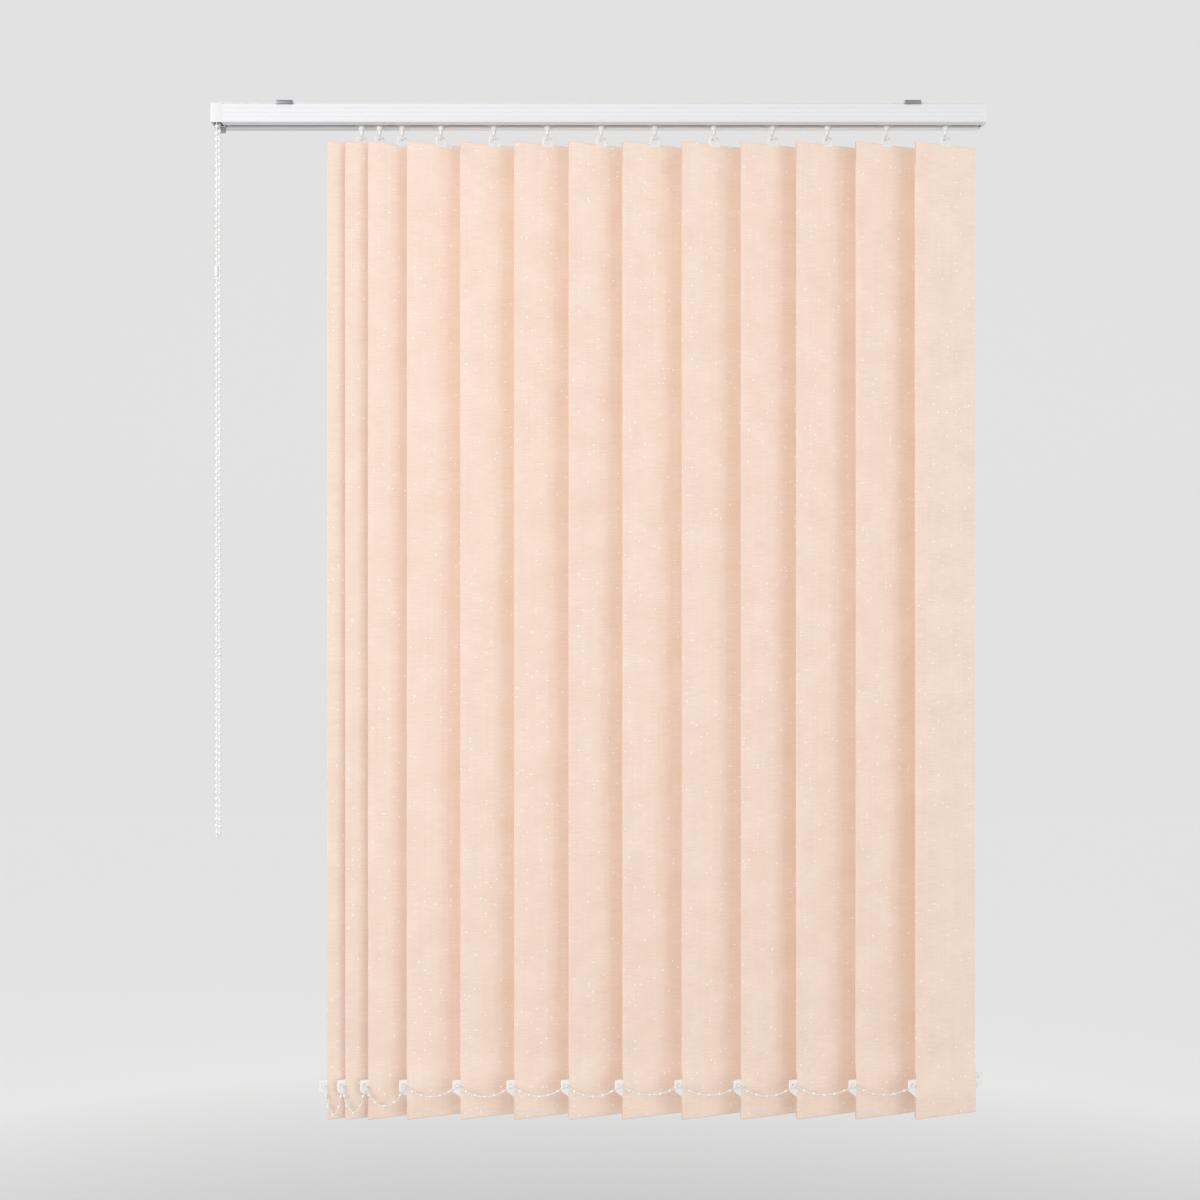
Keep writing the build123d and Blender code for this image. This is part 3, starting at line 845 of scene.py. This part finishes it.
# ---- headrail ---------------------------------------------------------------------------------------
@dataclass
class Headrail:
    """The ribbed rail, its two caps, the ceiling brackets and the grey guide behind the chain."""

    palette: Palette
    wall: float = 1.2 * MM
    slot: float = 10.0 * MM
    rib: float = 1.0 * MM
    corner: float = 1.6 * MM
    grooves: tuple[float, ...] = (7.5 * MM, 13.0 * MM, 18.5 * MM)
    groove_width: float = 1.0 * MM
    groove_depth: float = 0.45 * MM
    groove_shape: tuple[Flat, ...] = ((0.5, 0.0), (0.3, 0.7), (0.0, 1.0), (-0.3, 0.7), (-0.5, 0.0))
    catch: Flat = (1.4 * MM, 3.0 * MM)
    catch_depth: float = 0.6 * MM
    chamfer: float = 0.5 * MM
    step: float = 0.01 * MM

    def outline(self, half: float, bottom: float, top: float) -> list[Flat]:
        """The rail's closed section.

        Args:
            half: Half the rail's depth.
            bottom: The height of its underside.
            top: The height of its top.

        Returns:
            Points as (y, z), once round the section.
        """
        floor = bottom + self.wall
        lip = self.slot / 2
        catch_top, catch_bottom = top - self.catch[0], top - self.catch[1]
        catch_floor = half - self.catch_depth
        back = [(lip, bottom), (half - self.chamfer, bottom), (half, bottom + self.chamfer)]
        back += [(half, catch_bottom), (catch_floor, catch_bottom)]
        back += [(catch_floor, catch_top), (half, catch_top + self.step)]
        arc = []
        for step in range(7):
            turn = math.pi / 2 * step / 6
            across = half - self.corner + self.corner * math.cos(turn)
            arc.append((across, top - self.corner + self.corner * math.sin(turn)))
        front = [(-across, up) for across, up in reversed(arc)]
        front += [(-half, catch_top + self.step), (-catch_floor, catch_top)]
        front += [(-catch_floor, catch_bottom), (-half, catch_bottom)]
        for drop in self.grooves:
            for share, depth in self.groove_shape:
                front.append((-half + self.groove_depth * depth, top - drop + share * self.groove_width))
        front += [(-half, bottom + self.chamfer), (-half + self.chamfer, bottom), (-lip, bottom)]
        inner = half - self.wall
        ceiling = top - self.wall
        rib_top = floor + self.rib
        rib_side = lip + self.wall
        inside = [(-lip, rib_top), (-rib_side, rib_top), (-rib_side, floor)]
        inside += [(-inner, floor), (-inner, ceiling), (inner, ceiling), (inner, floor)]
        inside += [(rib_side, floor), (rib_side, rib_top), (lip, rib_top)]
        return back + arc + front + inside

    def rail(self) -> bpy.types.Object:
        """Make the extruded rail.

        Returns:
            The rail, with its node hidden.
        """
        low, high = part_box("headrail")
        section = self.outline((high.y - low.y) / 2, low.z, high.z)
        build = bmesh.new()
        ends = []
        for along in (low.x, high.x):
            ends.append([build.verts.new((along, across, up)) for across, up in section])
        count = len(section)
        for index in range(count):
            ahead = (index + 1) % count
            build.faces.new((ends[0][index], ends[0][ahead], ends[1][ahead], ends[1][index]))
        caps = [build.faces.new(end) for end in ends]
        bmesh.ops.triangulate(build, faces=caps)
        bmesh.ops.recalc_face_normals(build, faces=build.faces)
        mesh = bpy.data.meshes.new("rail_shell")
        build.to_mesh(mesh)
        build.free()
        piece = smooth(add_object("rail_shell", mesh), 50.0)
        paint(piece, self.palette.get(Surface.RAIL))
        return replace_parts(piece, "headrail")

    def build(self) -> list[bpy.types.Object]:
        """Make every piece of the headrail.

        Returns:
            The rail, caps, brackets and guide.
        """
        made = [self.rail()]
        jobs = (
            ("control_cap", 0.35, Surface.CAP, "cap_white"),
            ("end_cap", 0.35, Surface.CAP, "cap_white"),
            ("bracket_left", 0.2, Surface.STEEL, "bracket_steel"),
            ("bracket_right", 0.2, Surface.STEEL, "bracket_steel"),
            ("chain_guide", 0.3, Surface.GUIDE, "guide_plastic"),
        )
        for node, edge, surface, slot in jobs:
            piece = softened(node, edge * MM, self.palette.get(surface))
            made.append(piece)
        for piece in made:
            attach(piece, "rail")
        return made


@dataclass
class Mechanism:
    """The tilt rod, chain wheel and carriers, mostly hidden in the rail.

    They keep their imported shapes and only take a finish.
    """

    palette: Palette

    def build(self) -> list[bpy.types.Object]:
        """Dress the carried-over pieces.

        Returns:
            The rod, the wheel and every carrier.
        """
        jobs = {"tilt_rod": Surface.ROD, "chain_wheel": Surface.MECHANISM}
        jobs |= {f"carrier_{number:02}": Surface.MECHANISM for number in range(1, VANES + 1)}
        made = []
        for node, surface in jobs.items():
            piece = frame["nodes"][node]
            piece.data.materials.clear()
            piece.data.materials.append(self.palette.get(surface))
            made.append(piece)
        return made


# ---- vanes --------------------------------------------------------------------------------------------
def stand(piece: bpy.types.Object, along: float) -> bpy.types.Object:
    """Turn a piece made about the upright axis to the vanes' resting angle and move it along the rail.

    Args:
        piece: The mesh object.
        along: Its place along the rail.

    Returns:
        The same object.
    """
    piece.data.transform(Matrix.Translation((along, 0.0, 0.0)) @ Matrix.Rotation(REST_ANGLE, 4, "Z"))
    return piece


def vane_axis(number: int) -> float:
    """Find a vane's place along the rail.

    Args:
        number: The vane, counted from the left.

    Returns:
        The x of its turning axis.
    """
    low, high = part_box(f"vane_{number:02}")
    return (low.x + high.x) / 2


@dataclass
class Vane:
    """One hanging vane of cloth, folded back at both ends round its hanger and its weight."""

    palette: Palette
    number: int
    width: float = 89.0 * MM
    cloth: float = 0.55 * MM
    top_half: float = 1.15 * MM
    bottom_half: float = 1.4 * MM
    top_pocket: float = 26.2 * MM
    bottom_pocket: float = 55.4 * MM
    seam: float = 6.0 * MM
    notch: float = 7.1 * MM
    notch_depth: float = 2.9 * MM
    flap: float = 0.6 * MM  # how far the hem's loose edge stands behind the cloth
    press: float = 0.1 * MM
    wave: Flat = (0.35 * MM, 0.19)
    curl: Flat = (0.5 * MM, 0.33)
    stiff: Flat = (60.0 * MM, 30.0 * MM)  # at the bottom and the top, where the cloth doesn't wave
    rows: int = 44

    def fold(self, height: float, half: float, side: float) -> list[Flat]:
        """Lay half a turn of cloth round a hem, from back to front.

        Args:
            height: The height of the turn's centre.
            half: The turn's radius.
            side: 1 over the top, -1 under the bottom.

        Returns:
            Points as (depth, height).
        """
        points = []
        for step in range(9):
            turn = math.pi * step / 8
            points.append((half * math.cos(turn), height + side * half * math.sin(turn)))
        return points

    def section(self, bottom: float, top: float) -> list[Flat]:
        """Lay the cloth's line as seen from the vane's edge.

        Args:
            bottom: The height of the vane's bottom.
            top: The height of its top.

        Returns:
            Points as (depth, height), from hem end to hem end.
        """
        seam_top = top - self.top_pocket
        seam_bottom = bottom + self.bottom_pocket
        slit = top - self.notch_depth
        line = [(self.flap, seam_top - self.seam), (self.top_half, seam_top), (self.top_half, slit)]
        line += self.fold(top - self.top_half - self.cloth / 2, self.top_half, 1.0)
        line += [(-self.top_half, slit), (-self.top_half, seam_top), (-self.press, seam_top - self.seam)]
        span = seam_top - seam_bottom - 2 * self.seam
        for row in range(1, self.rows):
            line.append((0.0, seam_top - self.seam - span * row / self.rows))
        line += [(-self.press, seam_bottom + self.seam), (-self.bottom_half, seam_bottom)]
        line += reversed(self.fold(bottom + self.bottom_half + self.cloth / 2, self.bottom_half, -1.0))
        line += [(self.bottom_half, seam_bottom), (self.flap, seam_bottom + self.seam)]
        return line

    def sway(self, across: float, height: float) -> float:
        """Find how far the cloth stands off its plane, in a slow wave and a slight curl.

        Args:
            across: The place across the vane's width.
            height: The height.

        Returns:
            The distance off the plane.
        """
        wave = self.wave[0] * math.sin(height / self.wave[1] + 1.7 * self.number)
        twist = self.curl[0] * across / self.width * math.sin(height / self.curl[1] + 2.3 * self.number)
        return wave + twist

    def surface(self, line: Sequence[Flat], lengths: Sequence[float]) -> bpy.types.Mesh:
        """Lay the cloth as a thin surface, with a slit at the top fold for the hanger's eye.

        Args:
            line: The cloth's line as (depth, height).
            lengths: How far along the line each of its points is.

        Returns:
            The surface, with its cloth map in metres.
        """
        low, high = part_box(f"vane_{self.number:02}")
        half = self.width / 2
        columns = [-half, -0.8 * half, -0.55 * half, -0.3 * half, -self.notch]
        columns += [-across for across in reversed(columns)]
        build = bmesh.new()
        cloth_map = build.loops.layers.uv.new("cloth")
        grid = []
        for depth, height in line:
            level = low.z + self.stiff[0] < height < high.z - self.stiff[1]
            row = []
            for across in columns:
                off = self.sway(across, height) if level else 0.0
                row.append(build.verts.new((across, depth + off, height)))
            grid.append(row)
        slit = high.z - self.notch_depth
        shift = 0.37 * self.number  # no two vanes are cut from the same place in the cloth
        for index in range(len(line) - 1):
            in_slit = line[index][1] + line[index + 1][1] > 2 * slit
            for column in range(len(columns) - 1):
                if in_slit and columns[column] == -self.notch:
                    continue
                right, below = column + 1, index + 1
                corners = ((index, column), (index, right), (below, right), (below, column))
                face = build.faces.new([grid[row][place] for row, place in corners])
                for loop, (row, place) in zip(face.loops, corners):
                    loop[cloth_map].uv = (columns[place] + shift, lengths[row] + 0.61 * shift)
                face.smooth = True
        mesh = bpy.data.meshes.new("vane")
        build.to_mesh(mesh)
        build.free()
        return mesh

    def build(self) -> bpy.types.Object:
        """Returns:
            The vane.
        """
        low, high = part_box(f"vane_{self.number:02}")
        line = self.section(low.z, high.z)
        lengths = [0.0]
        for before, after in zip(line, line[1:]):
            lengths.append(lengths[-1] + math.dist(before, after))
        rough = add_object("vane_rough", self.surface(line, lengths))
        solid = rough.modifiers.new("cloth", "SOLIDIFY")
        solid.thickness = self.cloth
        solid.offset = 0.0
        name = f"cloth_vane_{self.number:02}"
        piece = stand(smooth(plain_mesh(rough, name), 50.0), vane_axis(self.number))
        build = bmesh.new()
        build.from_mesh(piece.data)
        bmesh.ops.recalc_face_normals(build, faces=build.faces)
        build.to_mesh(piece.data)
        build.free()
        paint(piece, self.palette.get(Surface.CLOTH))
        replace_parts(piece, f"vane_{self.number:02}")
        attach(piece, f"vane_{self.number:02}_body")
        return piece


@dataclass
class Fittings:
    """What turns with one vane.

    The hooked stem with its ball, the hanger in the top hem and the weight in the bottom one.
    """

    palette: Palette
    number: int
    ball: float = 4.5 * MM
    ball_drop: float = 2.4 * MM
    neck: float = 2.2 * MM
    gear: float = 4.6 * MM
    hook: float = 1.1 * MM
    hook_start: float = 9.5 * MM
    hook_drop: float = 17.0 * MM
    reach: float = 2.5 * MM
    eye: Flat = (13.6 * MM, 12.0 * MM)
    eye_drop: float = 13.6 * MM
    bar: float = 2.0 * MM
    hanger: Flat = (83.0 * MM, 25.0 * MM)
    hanger_thickness: float = 1.5 * MM
    weight: Flat = (83.0 * MM, WEIGHT_HEIGHT)
    weight_thickness: float = 2.0 * MM
    tab_start: float = 44.5 * MM
    tab: float = 10.0 * MM
    tab_straight: float = 13.7 * MM
    taper: float = 8.0 * MM
    hole: Flat = (1.3 * MM, 2.0 * MM)

    def stem(self, bottom: float) -> bpy.types.Object:
        """Make the stem, with the hook that the hanger's eye hangs in.

        Args:
            bottom: The height of the rail's underside.

        Returns:
            The stem and its hook as one piece.
        """
        ball = bottom - self.ball_drop
        profile = [(self.gear, bottom + 14.9 * MM), (self.gear, bottom + 9.4 * MM)]
        profile += [(self.neck, bottom + 9.3 * MM), (self.neck, ball + self.ball * 0.95)]
        for step in range(1, 15):
            turn = math.radians(25 + 130 * step / 15)
            profile.append((self.ball * math.sin(turn), ball + self.ball * math.cos(turn)))
        profile += [(self.neck - 0.1 * MM, ball - self.ball), (self.neck - 0.1 * MM, bottom - 10.2 * MM)]
        profile += [(self.neck - 0.5 * MM, bottom - 10.7 * MM)]
        post = lathe("stem", profile)
        paint(post, self.palette.get(Surface.CAP))
        start = bottom - self.hook_start
        floor = bottom - self.hook_drop
        bend = [(0.0, start), (0.0, start - 1.6 * MM), (self.reach * 0.5, start - 2.4 * MM)]
        bend += [(self.reach, start - 3.2 * MM), (self.reach, floor + 1.6 * MM), (self.reach, floor)]
        bend += [(0.0, floor), (-self.reach, floor)]
        bend += [(-self.reach, floor + 1.2 * MM), (-self.reach, floor + 2.8 * MM)]
        crook = tube("crook", [(0.0, across, up) for across, up in bend], self.hook)
        paint(crook, self.palette.get(Surface.NYLON))
        return stand(merged(f"hook_{self.number:02}", [post, crook]), vane_axis(self.number))

    def hanger_plate(self, eye_top: float) -> bpy.types.Object:
        """Make the flat hanger in the vane's top hem, with its square eye.

        Args:
            eye_top: The height of the eye's top.

        Returns:
            The hanger.
        """
        wide, tall = self.eye
        top = eye_top - tall + self.bar - 0.6 * MM
        half, eye = self.hanger[0] / 2, wide / 2
        low = top - self.hanger[1]
        outer = [(-half, low), (half, low), (half, top), (eye, top), (eye, eye_top), (-eye, eye_top)]
        outer += [(-eye, top), (-half, top)]
        inner = eye - self.bar
        hole = [(-inner, eye_top - tall + self.bar), (inner, eye_top - tall + self.bar)]
        hole += [(inner, eye_top - self.bar), (-inner, eye_top - self.bar)]
        outlines = (rounded(outer, 1.2 * MM), rounded(hole, 0.6 * MM))
        piece = plate(f"hanger_{self.number:02}", outlines, self.hanger_thickness, 0.25 * MM)
        return paint(stand(piece, vane_axis(self.number)), self.palette.get(Surface.WEIGHT))

    def weight_plate(self, top: float) -> bpy.types.Object:
        """Make the weight in the bottom hem, with the tab at each end that the chains clip to.

        Args:
            top: The height of the weight's top.

        Returns:
            The weight.
        """
        half = self.weight[0] / 2
        edge = self.tab_start
        bottom = top - self.weight[1]
        taper_end = top - self.tab_straight - self.taper
        right = [(half, bottom), (half, taper_end - 3.0 * MM), (edge, taper_end)]
        right += [(edge + self.tab, top - self.tab_straight), (edge + self.tab, top)]
        outer = right + [(-across, up) for across, up in reversed(right)]
        holes = []
        for side in (-1.0, 1.0):
            across, up = side * (edge + self.tab - 5.3 * MM), top - HOLE_DROP
            oval = []
            for step in range(16):
                turn = 2 * math.pi * step / 16
                oval.append((across + self.hole[0] * math.cos(turn), up + self.hole[1] * math.sin(turn)))
            holes.append(oval)
        outlines = [rounded(outer, 1.5 * MM), *holes]
        piece = plate(f"weight_{self.number:02}", outlines, self.weight_thickness, 0.3 * MM)
        return paint(stand(piece, vane_axis(self.number)), self.palette.get(Surface.WEIGHT))

    def build(self) -> list[bpy.types.Object]:
        """Make the fittings of one vane.

        Returns:
            The stem, the hanger and the weight.
        """
        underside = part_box("headrail")[0].z
        vane_low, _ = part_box(f"vane_{self.number:02}")
        weight_top = vane_low.z + HEM_FLOOR + self.weight[1]
        hook = self.stem(underside)
        hanger = self.hanger_plate(underside - self.eye_drop)
        made = [hook, hanger, self.weight_plate(weight_top)]
        for piece in made:
            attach(piece, f"vane_{self.number:02}_body")
        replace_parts(hook, f"fittings_{self.number:02}")
        return made


# ---- chains -------------------------------------------------------------------------------------------
class Side(Enum):
    """The two rows of bottom chain: the room side and the window side."""

    FRONT = -1
    REAR = 1


@dataclass
class BottomChains:
    """The fine bead chains that join the vanes' weights, one swag between each pair."""

    palette: Palette
    beads: BeadString
    cord: float = 1.1 * MM
    bead: float = 1.75 * MM
    clip: float = 1.3 * MM
    pin: float = 0.9 * MM
    per_swag: int = 5
    hook_along: float = 49.2 * MM
    clip_out: float = 4.058 * MM
    spread: float = 0.65 * MM
    deep_span: float = 60.0 * MM
    drops: tuple[float, ...] = (37.0, 34.5, 25.5, 14.0, 13.8, 13.5, 13.8, 11.5, 11.8, 13.2, 11.5, 11.5)
    shallow: tuple[Flat, ...] = (
        (0, 0),
        (0.15, -0.52),
        (0.33, -0.89),
        (0.5, -1),
        (0.68, -0.88),
        (0.86, -0.5),
        (1, 0),
    )
    deep: tuple[Flat, ...] = (
        (0, 0),
        (0.06, -0.38),
        (0.2, -0.76),
        (0.4, -0.98),
        (0.61, -0.97),
        (0.81, -0.75),
        (0.95, -0.36),
        (1, 0),
    )
    travel: dict[int, float] = field(default_factory=dict)

    def read_travel(self) -> float:
        """Read how far each carrier goes as a share of the first one's travel.

        Returns:
            The first one's whole travel in metres.
        """
        self.travel = {FREE_SWAGS + 1: 1.0, VANES: 0.0}
        for number, joint in self.followers().items():
            self.travel[number] = joint["range_m"][1]
        first = next(joint for joint in frame["joints"] if joint["name"] == "traverse")
        whole = first["range_m"][1]
        for number in self.followers():
            self.travel[number] /= whole
        return whole

    @staticmethod
    def followers() -> dict[int, dict]:
        """Find the slides of the carriers that follow the first one.

        Returns:
            Each follower's joint, by the carrier's number.
        """
        found = {}
        for joint in frame["joints"]:
            if joint["name"].startswith("traverse_"):
                found[int(joint["name"][-2:])] = joint
        return found

    def clip_place(self, number: int, side: Side) -> Vector:
        """Find the centre of the clip's ball at a vane's tab.

        Args:
            number: The vane.
            side: Which of the two rows.

        Returns:
            The centre.
        """
        sine, cosine = math.sin(REST_ANGLE), math.cos(REST_ANGLE)
        along = self.hook_along * cosine - self.clip_out * sine
        out = self.hook_along * sine + self.clip_out * cosine
        low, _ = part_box(f"vane_{number:02}")
        height = low.z + HEM_FLOOR + WEIGHT_HEIGHT - HOLE_DROP
        return Vector((vane_axis(number) + side.value * along, side.value * out, height))

    def make_clip(self, number: int, side: Side) -> bpy.types.Object:
        """Make the clip's ball with the pin through the tab's hole.

        Args:
            number: The vane.
            side: Which of the two rows.

        Returns:
            The clip.
        """
        place = self.clip_place(number, side)
        inward = Vector((side.value * math.sin(REST_ANGLE), -side.value * math.cos(REST_ANGLE), 0.0))
        reach = self.clip_out - 0.2 * MM
        profile = []
        for step in range(1, 12):
            turn = math.pi * step / 13
            profile.append((self.clip * math.sin(turn), -self.clip * math.cos(turn)))
        profile += [(self.pin, self.clip * 0.8), (self.pin, reach), (self.pin * 0.5, reach + 0.5 * MM)]
        piece = lathe("clip", profile, 16)
        turn = inward.to_track_quat("Z", "Y").to_matrix().to_4x4()
        piece.data.transform(Matrix.Translation(place) @ turn)
        return paint(piece, self.palette.get(Surface.CHAIN))

    def swag(self, index: int, side: Side) -> list[bpy.types.Object]:
        """One swag of chain, from one vane's clip to the next.

        Args:
            index: The vane at the swag's left.
            side: Which of the two rows.

        Returns:
            The cord and its beads.
        """
        start, end = self.clip_place(index, side), self.clip_place(index + 1, side)
        pitch = end.x - start.x
        span = pitch - 2 * self.spread
        shares = self.deep if span < self.deep_span else self.shallow
        drop = self.drops[index - 1] * MM
        left = start.x + self.spread
        points = [(left + share * span, start.y, start.z + depth * drop) for share, depth in shares]
        line = route_line(points)
        label = f"{side.name.lower()}_swag_{index:02}"
        cord = tube(label, points, self.cord / 2, 2)
        paint(cord, self.palette.get(Surface.STRING))
        gap = 1 / (self.per_swag + 1)
        name = f"{side.name.lower()}_beads_{index:02}"
        string = self.beads.along(
            name, line, self.per_swag, (gap, 1 - gap), self.bead, self.palette.get(Surface.CHAIN)
        )
        node = f"{side.name.lower()}_chain_{min(index, FREE_SWAGS + 1):02}"
        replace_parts(cord, node)
        for piece in (cord, string):
            if index <= FREE_SWAGS:
                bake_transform(piece)
            else:
                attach(piece, f"{node}_body")
                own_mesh(piece)
        return [cord, string]

    def clips(self, number: int) -> bpy.types.Object:
        """Make both clips of one vane, which turn with it.

        Args:
            number: The vane.

        Returns:
            The two clips as one piece.
        """
        parts = [self.make_clip(number, side) for side in Side]
        piece = merged(f"clips_{number:02}", parts)
        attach(piece, f"vane_{number:02}_body")
        return piece

    def build(self) -> list[bpy.types.Object]:
        """Make the clips and both rows.

        Returns:
            Every clip, cord and string of beads.
        """
        whole = self.read_travel()
        made = [self.clips(number) for number in range(1, VANES + 1)]
        for side in Side:
            for index in range(1, VANES):
                made += self.swag(index, side)
        return made


@dataclass
class ControlChain:
    """The looped bead chain that works the blind, with its connector."""

    palette: Palette
    beads: BeadString
    string: float = 1.5 * MM
    bead: float = 2.25 * MM
    pitch: float = 8.36 * MM
    corner: float = 27.0 * MM
    barrel: tuple[Flat, ...] = (
        (0.45, 0.0),
        (0.8, 0.03),
        (0.97, 0.09),
        (1.0, 0.16),
        (1.0, 0.4),
        (0.9, 0.44),
        (0.86, 0.5),
    )
    stagger: float = 0.2  # of a pitch, which moves every bead along the loop

    def route(self) -> list[Point]:
        """Lay out the loop, from the connector's top round to its bottom.

        Returns:
            The control points of its route.
        """
        low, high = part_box("control_chain")
        link_low, link_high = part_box("chain_connector")
        along = (low.x + high.x) / 2
        radius = (high.x - low.x) / 2
        front, back = low.y + radius, high.y - radius
        top, bottom = high.z - radius, low.z + radius
        flat = [(front, link_high.z), (front, top - self.corner), (front, top), (back, top)]
        flat += [(back, top - self.corner), (back, bottom + self.corner), (back, bottom)]
        flat += [(front, bottom), (front, bottom + self.corner), (front, link_low.z)]
        return [(along, across, up) for across, up in flat]

    def thread(self, line: Sequence[Vector], start: float, shoulder: float) -> bpy.types.Object:
        """Set the beads along the string.

        Args:
            line: The string's line.
            start: The height of the line's first point.
            shoulder: The height at which its upper bend starts.

        Returns:
            The beads.
        """
        length = line_length(line)
        bend = [point for point in line if point.z > shoulder - 0.1 * MM]
        half_way = shoulder - start + line_length(bend) / 2  # about the top of the loop
        first = (half_way - self.stagger * self.pitch) % self.pitch
        count = int((length - first) / self.pitch) + 1
        ends = (first / length, (first + (count - 1) * self.pitch) / length)
        finish = self.palette.get(Surface.CHAIN)
        return self.beads.along("control_beads", line, count, ends, self.bead, finish)

    def build(self) -> list[bpy.types.Object]:
        """Make the string, its beads and the connector.

        Returns:
            The three pieces.
        """
        points = self.route()
        line = route_line(points)
        curve = route_curve("control_string", points)
        curve.bevel_depth = self.string / 2
        curve.bevel_resolution = 3
        curve.use_fill_caps = True
        curve.materials.append(self.palette.get(Surface.STRING))
        string = add_object("control_string", curve)
        beads = self.thread(line, points[0][2], points[1][2])
        connector = self.connector(*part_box("chain_connector"))
        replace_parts(string, "control_chain")
        for piece in (string, beads, connector):
            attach(piece, "rail")
        return [string, beads, connector]

    def connector(self, low: Vector, high: Vector) -> bpy.types.Object:
        """Make the snap connector, a barrel with a waist and rounded ends.

        Args:
            low: The lowest corner of its node's box.
            high: The highest corner.

        Returns:
            The connector, with its node hidden.
        """
        radius = (high.x - low.x) / 2
        tall = high.z - low.z
        upper = [(share, 1 - up) for share, up in reversed(self.barrel[:-1])]
        profile = [(radius * share, low.z + tall * up) for share, up in (*self.barrel, *upper)]
        piece = lathe("chain_barrel", profile, 24)
        centre = (low + high) / 2
        piece.data.transform(Matrix.Translation((centre.x, centre.y, 0.0)))
        paint(piece, self.palette.get(Surface.CAP))
        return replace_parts(piece, "chain_connector")


# ---- studio ---------------------------------------------------------------------------------------------
@dataclass
class Studio:
    """The pale floor, the soft light and the camera."""

    floor: float = -2.1
    distance: float = 2.105
    eye: float = -0.6251
    across: float = 0.0017
    lens: float = 50.0
    paper_tone: Point = (0.42, 0.42, 0.42)
    glow_tone: Point = (0.45, 0.45, 0.448)
    glow: Flat = (0.8, 3.2)  # the distances over which the floor's glow comes up
    half_wide: float = 22.0
    near_edge: float = -14.0
    bend_start: float = 9.0
    bend: float = 3.0
    wall_top: float = 12.0
    sky: float = 0.69

    def sweep(self) -> bpy.types.Object:
        """Make a wide pale floor that curves up far behind the blind.

        Returns:
            The floor, which belongs to the studio.
        """
        line = [(self.near_edge, self.floor), (self.bend_start, self.floor)]
        for step in range(1, 13):
            turn = math.pi / 2 * step / 12
            away = self.bend_start + self.bend * math.sin(turn)
            line.append((away, self.floor + self.bend - self.bend * math.cos(turn)))
        line.append((self.bend_start + self.bend, self.wall_top))
        verts, faces = [], []
        for away, up in line:
            verts += [(-self.half_wide, away, up), (self.half_wide, away, up)]
        for row in range(len(line) - 1):
            faces.append((2 * row, 2 * row + 1, 2 * row + 3, 2 * row + 2))
        mesh = bpy.data.meshes.new("studio_floor")
        mesh.from_pydata(verts, [], faces)
        piece = smooth(add_object("studio_floor", mesh), 60.0)
        paint(piece, self.paper())
        return piece

    def paper(self) -> bpy.types.Material:
        """Make the floor's finish, which glows more the further out it is.

        Returns:
            The material.
        """
        material = bpy.data.materials.new("studio_paper")
        material.use_nodes = True
        bench = NodeBench(material.node_tree)
        shader = material.node_tree.nodes["Principled BSDF"]
        place = bench.add("ShaderNodeTexCoord").outputs["Object"]
        radius = bench.add("ShaderNodeVectorMath", operation="LENGTH")
        bench.join(bench.stretch(place, (1.0, 1.0, 0.0)), radius.inputs[0])
        far = bench.span(radius.outputs["Value"], self.glow, (0.0, 1.0))
        ramp = bench.add("ShaderNodeValToRGB")
        ramp.color_ramp.elements[0].color = (0.0, 0.0, 0.0, 1.0)
        ramp.color_ramp.elements[1].color = (*self.glow_tone, 1.0)
        bench.join(far, ramp.inputs["Fac"])
        bench.join(ramp.outputs["Color"], shader.inputs["Emission Color"])
        shader.inputs["Emission Strength"].default_value = 1.0
        shader.inputs["Base Color"].default_value = (*self.paper_tone, 1.0)
        shader.inputs["Roughness"].default_value = 0.9
        shader.inputs["Specular IOR Level"].default_value = 0.1
        return material

    def light(self, name: str, place: Point, aim: Point, size: float, power: float) -> None:
        """Hang a square soft light that points at a place.

        Args:
            name: The light's name.
            place: Where it hangs.
            aim: The place it points at.
            size: The length of its side.
            power: Its power in watts.
        """
        lamp = bpy.data.lights.new(name, "AREA")
        lamp.shape = "SQUARE"
        lamp.size = size
        lamp.energy = power
        holder = add_object(name, lamp)
        holder.location = place
        holder.rotation_euler = (Vector(aim) - Vector(place)).to_track_quat("-Z", "Y").to_euler()

    def build(self) -> None:
        """Make the floor, the lights, the world and the camera."""
        self.sweep()
        world = bpy.data.worlds.new("studio")
        world.use_nodes = True
        background = world.node_tree.nodes["Background"]
        background.inputs["Color"].default_value = (1.0, 1.0, 1.0, 1.0)
        background.inputs["Strength"].default_value = self.sky
        bpy.context.scene.world = world
        bpy.context.scene.view_settings.view_transform = "Standard"
        middle = (0.0, 0.0, -0.6)
        self.light("key", (-2.4, -2.7, 0.1), middle, 1.4, 70.0)
        self.light("fill", (2.6, -2.4, -0.6), middle, 2.2, 17.0)
        self.light("back", (0.4, 2.8, 0.6), middle, 2.2, 14.0)
        lens = bpy.data.cameras.new("camera")
        lens.lens = self.lens
        lens.sensor_width = 36.0
        camera = add_object("camera", lens)
        camera.location = (self.across, -self.distance, self.eye)
        camera.rotation_euler = (math.pi / 2, 0.0, 0.0)
        bpy.context.scene.camera = camera


def report(title: str, pieces: Iterable[bpy.types.Object]) -> None:
    """Log the pieces of a sub-assembly.

    Args:
        title: The sub-assembly's name.
        pieces: Its pieces.
    """
    for piece in pieces:
        log.info("%s: %s", title, piece.name)


def main() -> None:
    """Build the blind and its studio."""
    logging.basicConfig(level=logging.INFO)
    Studio().build()
    palette = Palette()
    beads = BeadString()
    report("headrail", Headrail(palette).build())
    report("mechanism", Mechanism(palette).build())
    for number in range(1, VANES + 1):
        report("fittings", Fittings(palette, number).build())
        report("vane", [Vane(palette, number).build()])
    report("bottom chain", BottomChains(palette, beads).build())
    report("control chain", ControlChain(palette, beads).build())


if __name__ == "__main__":
    main()
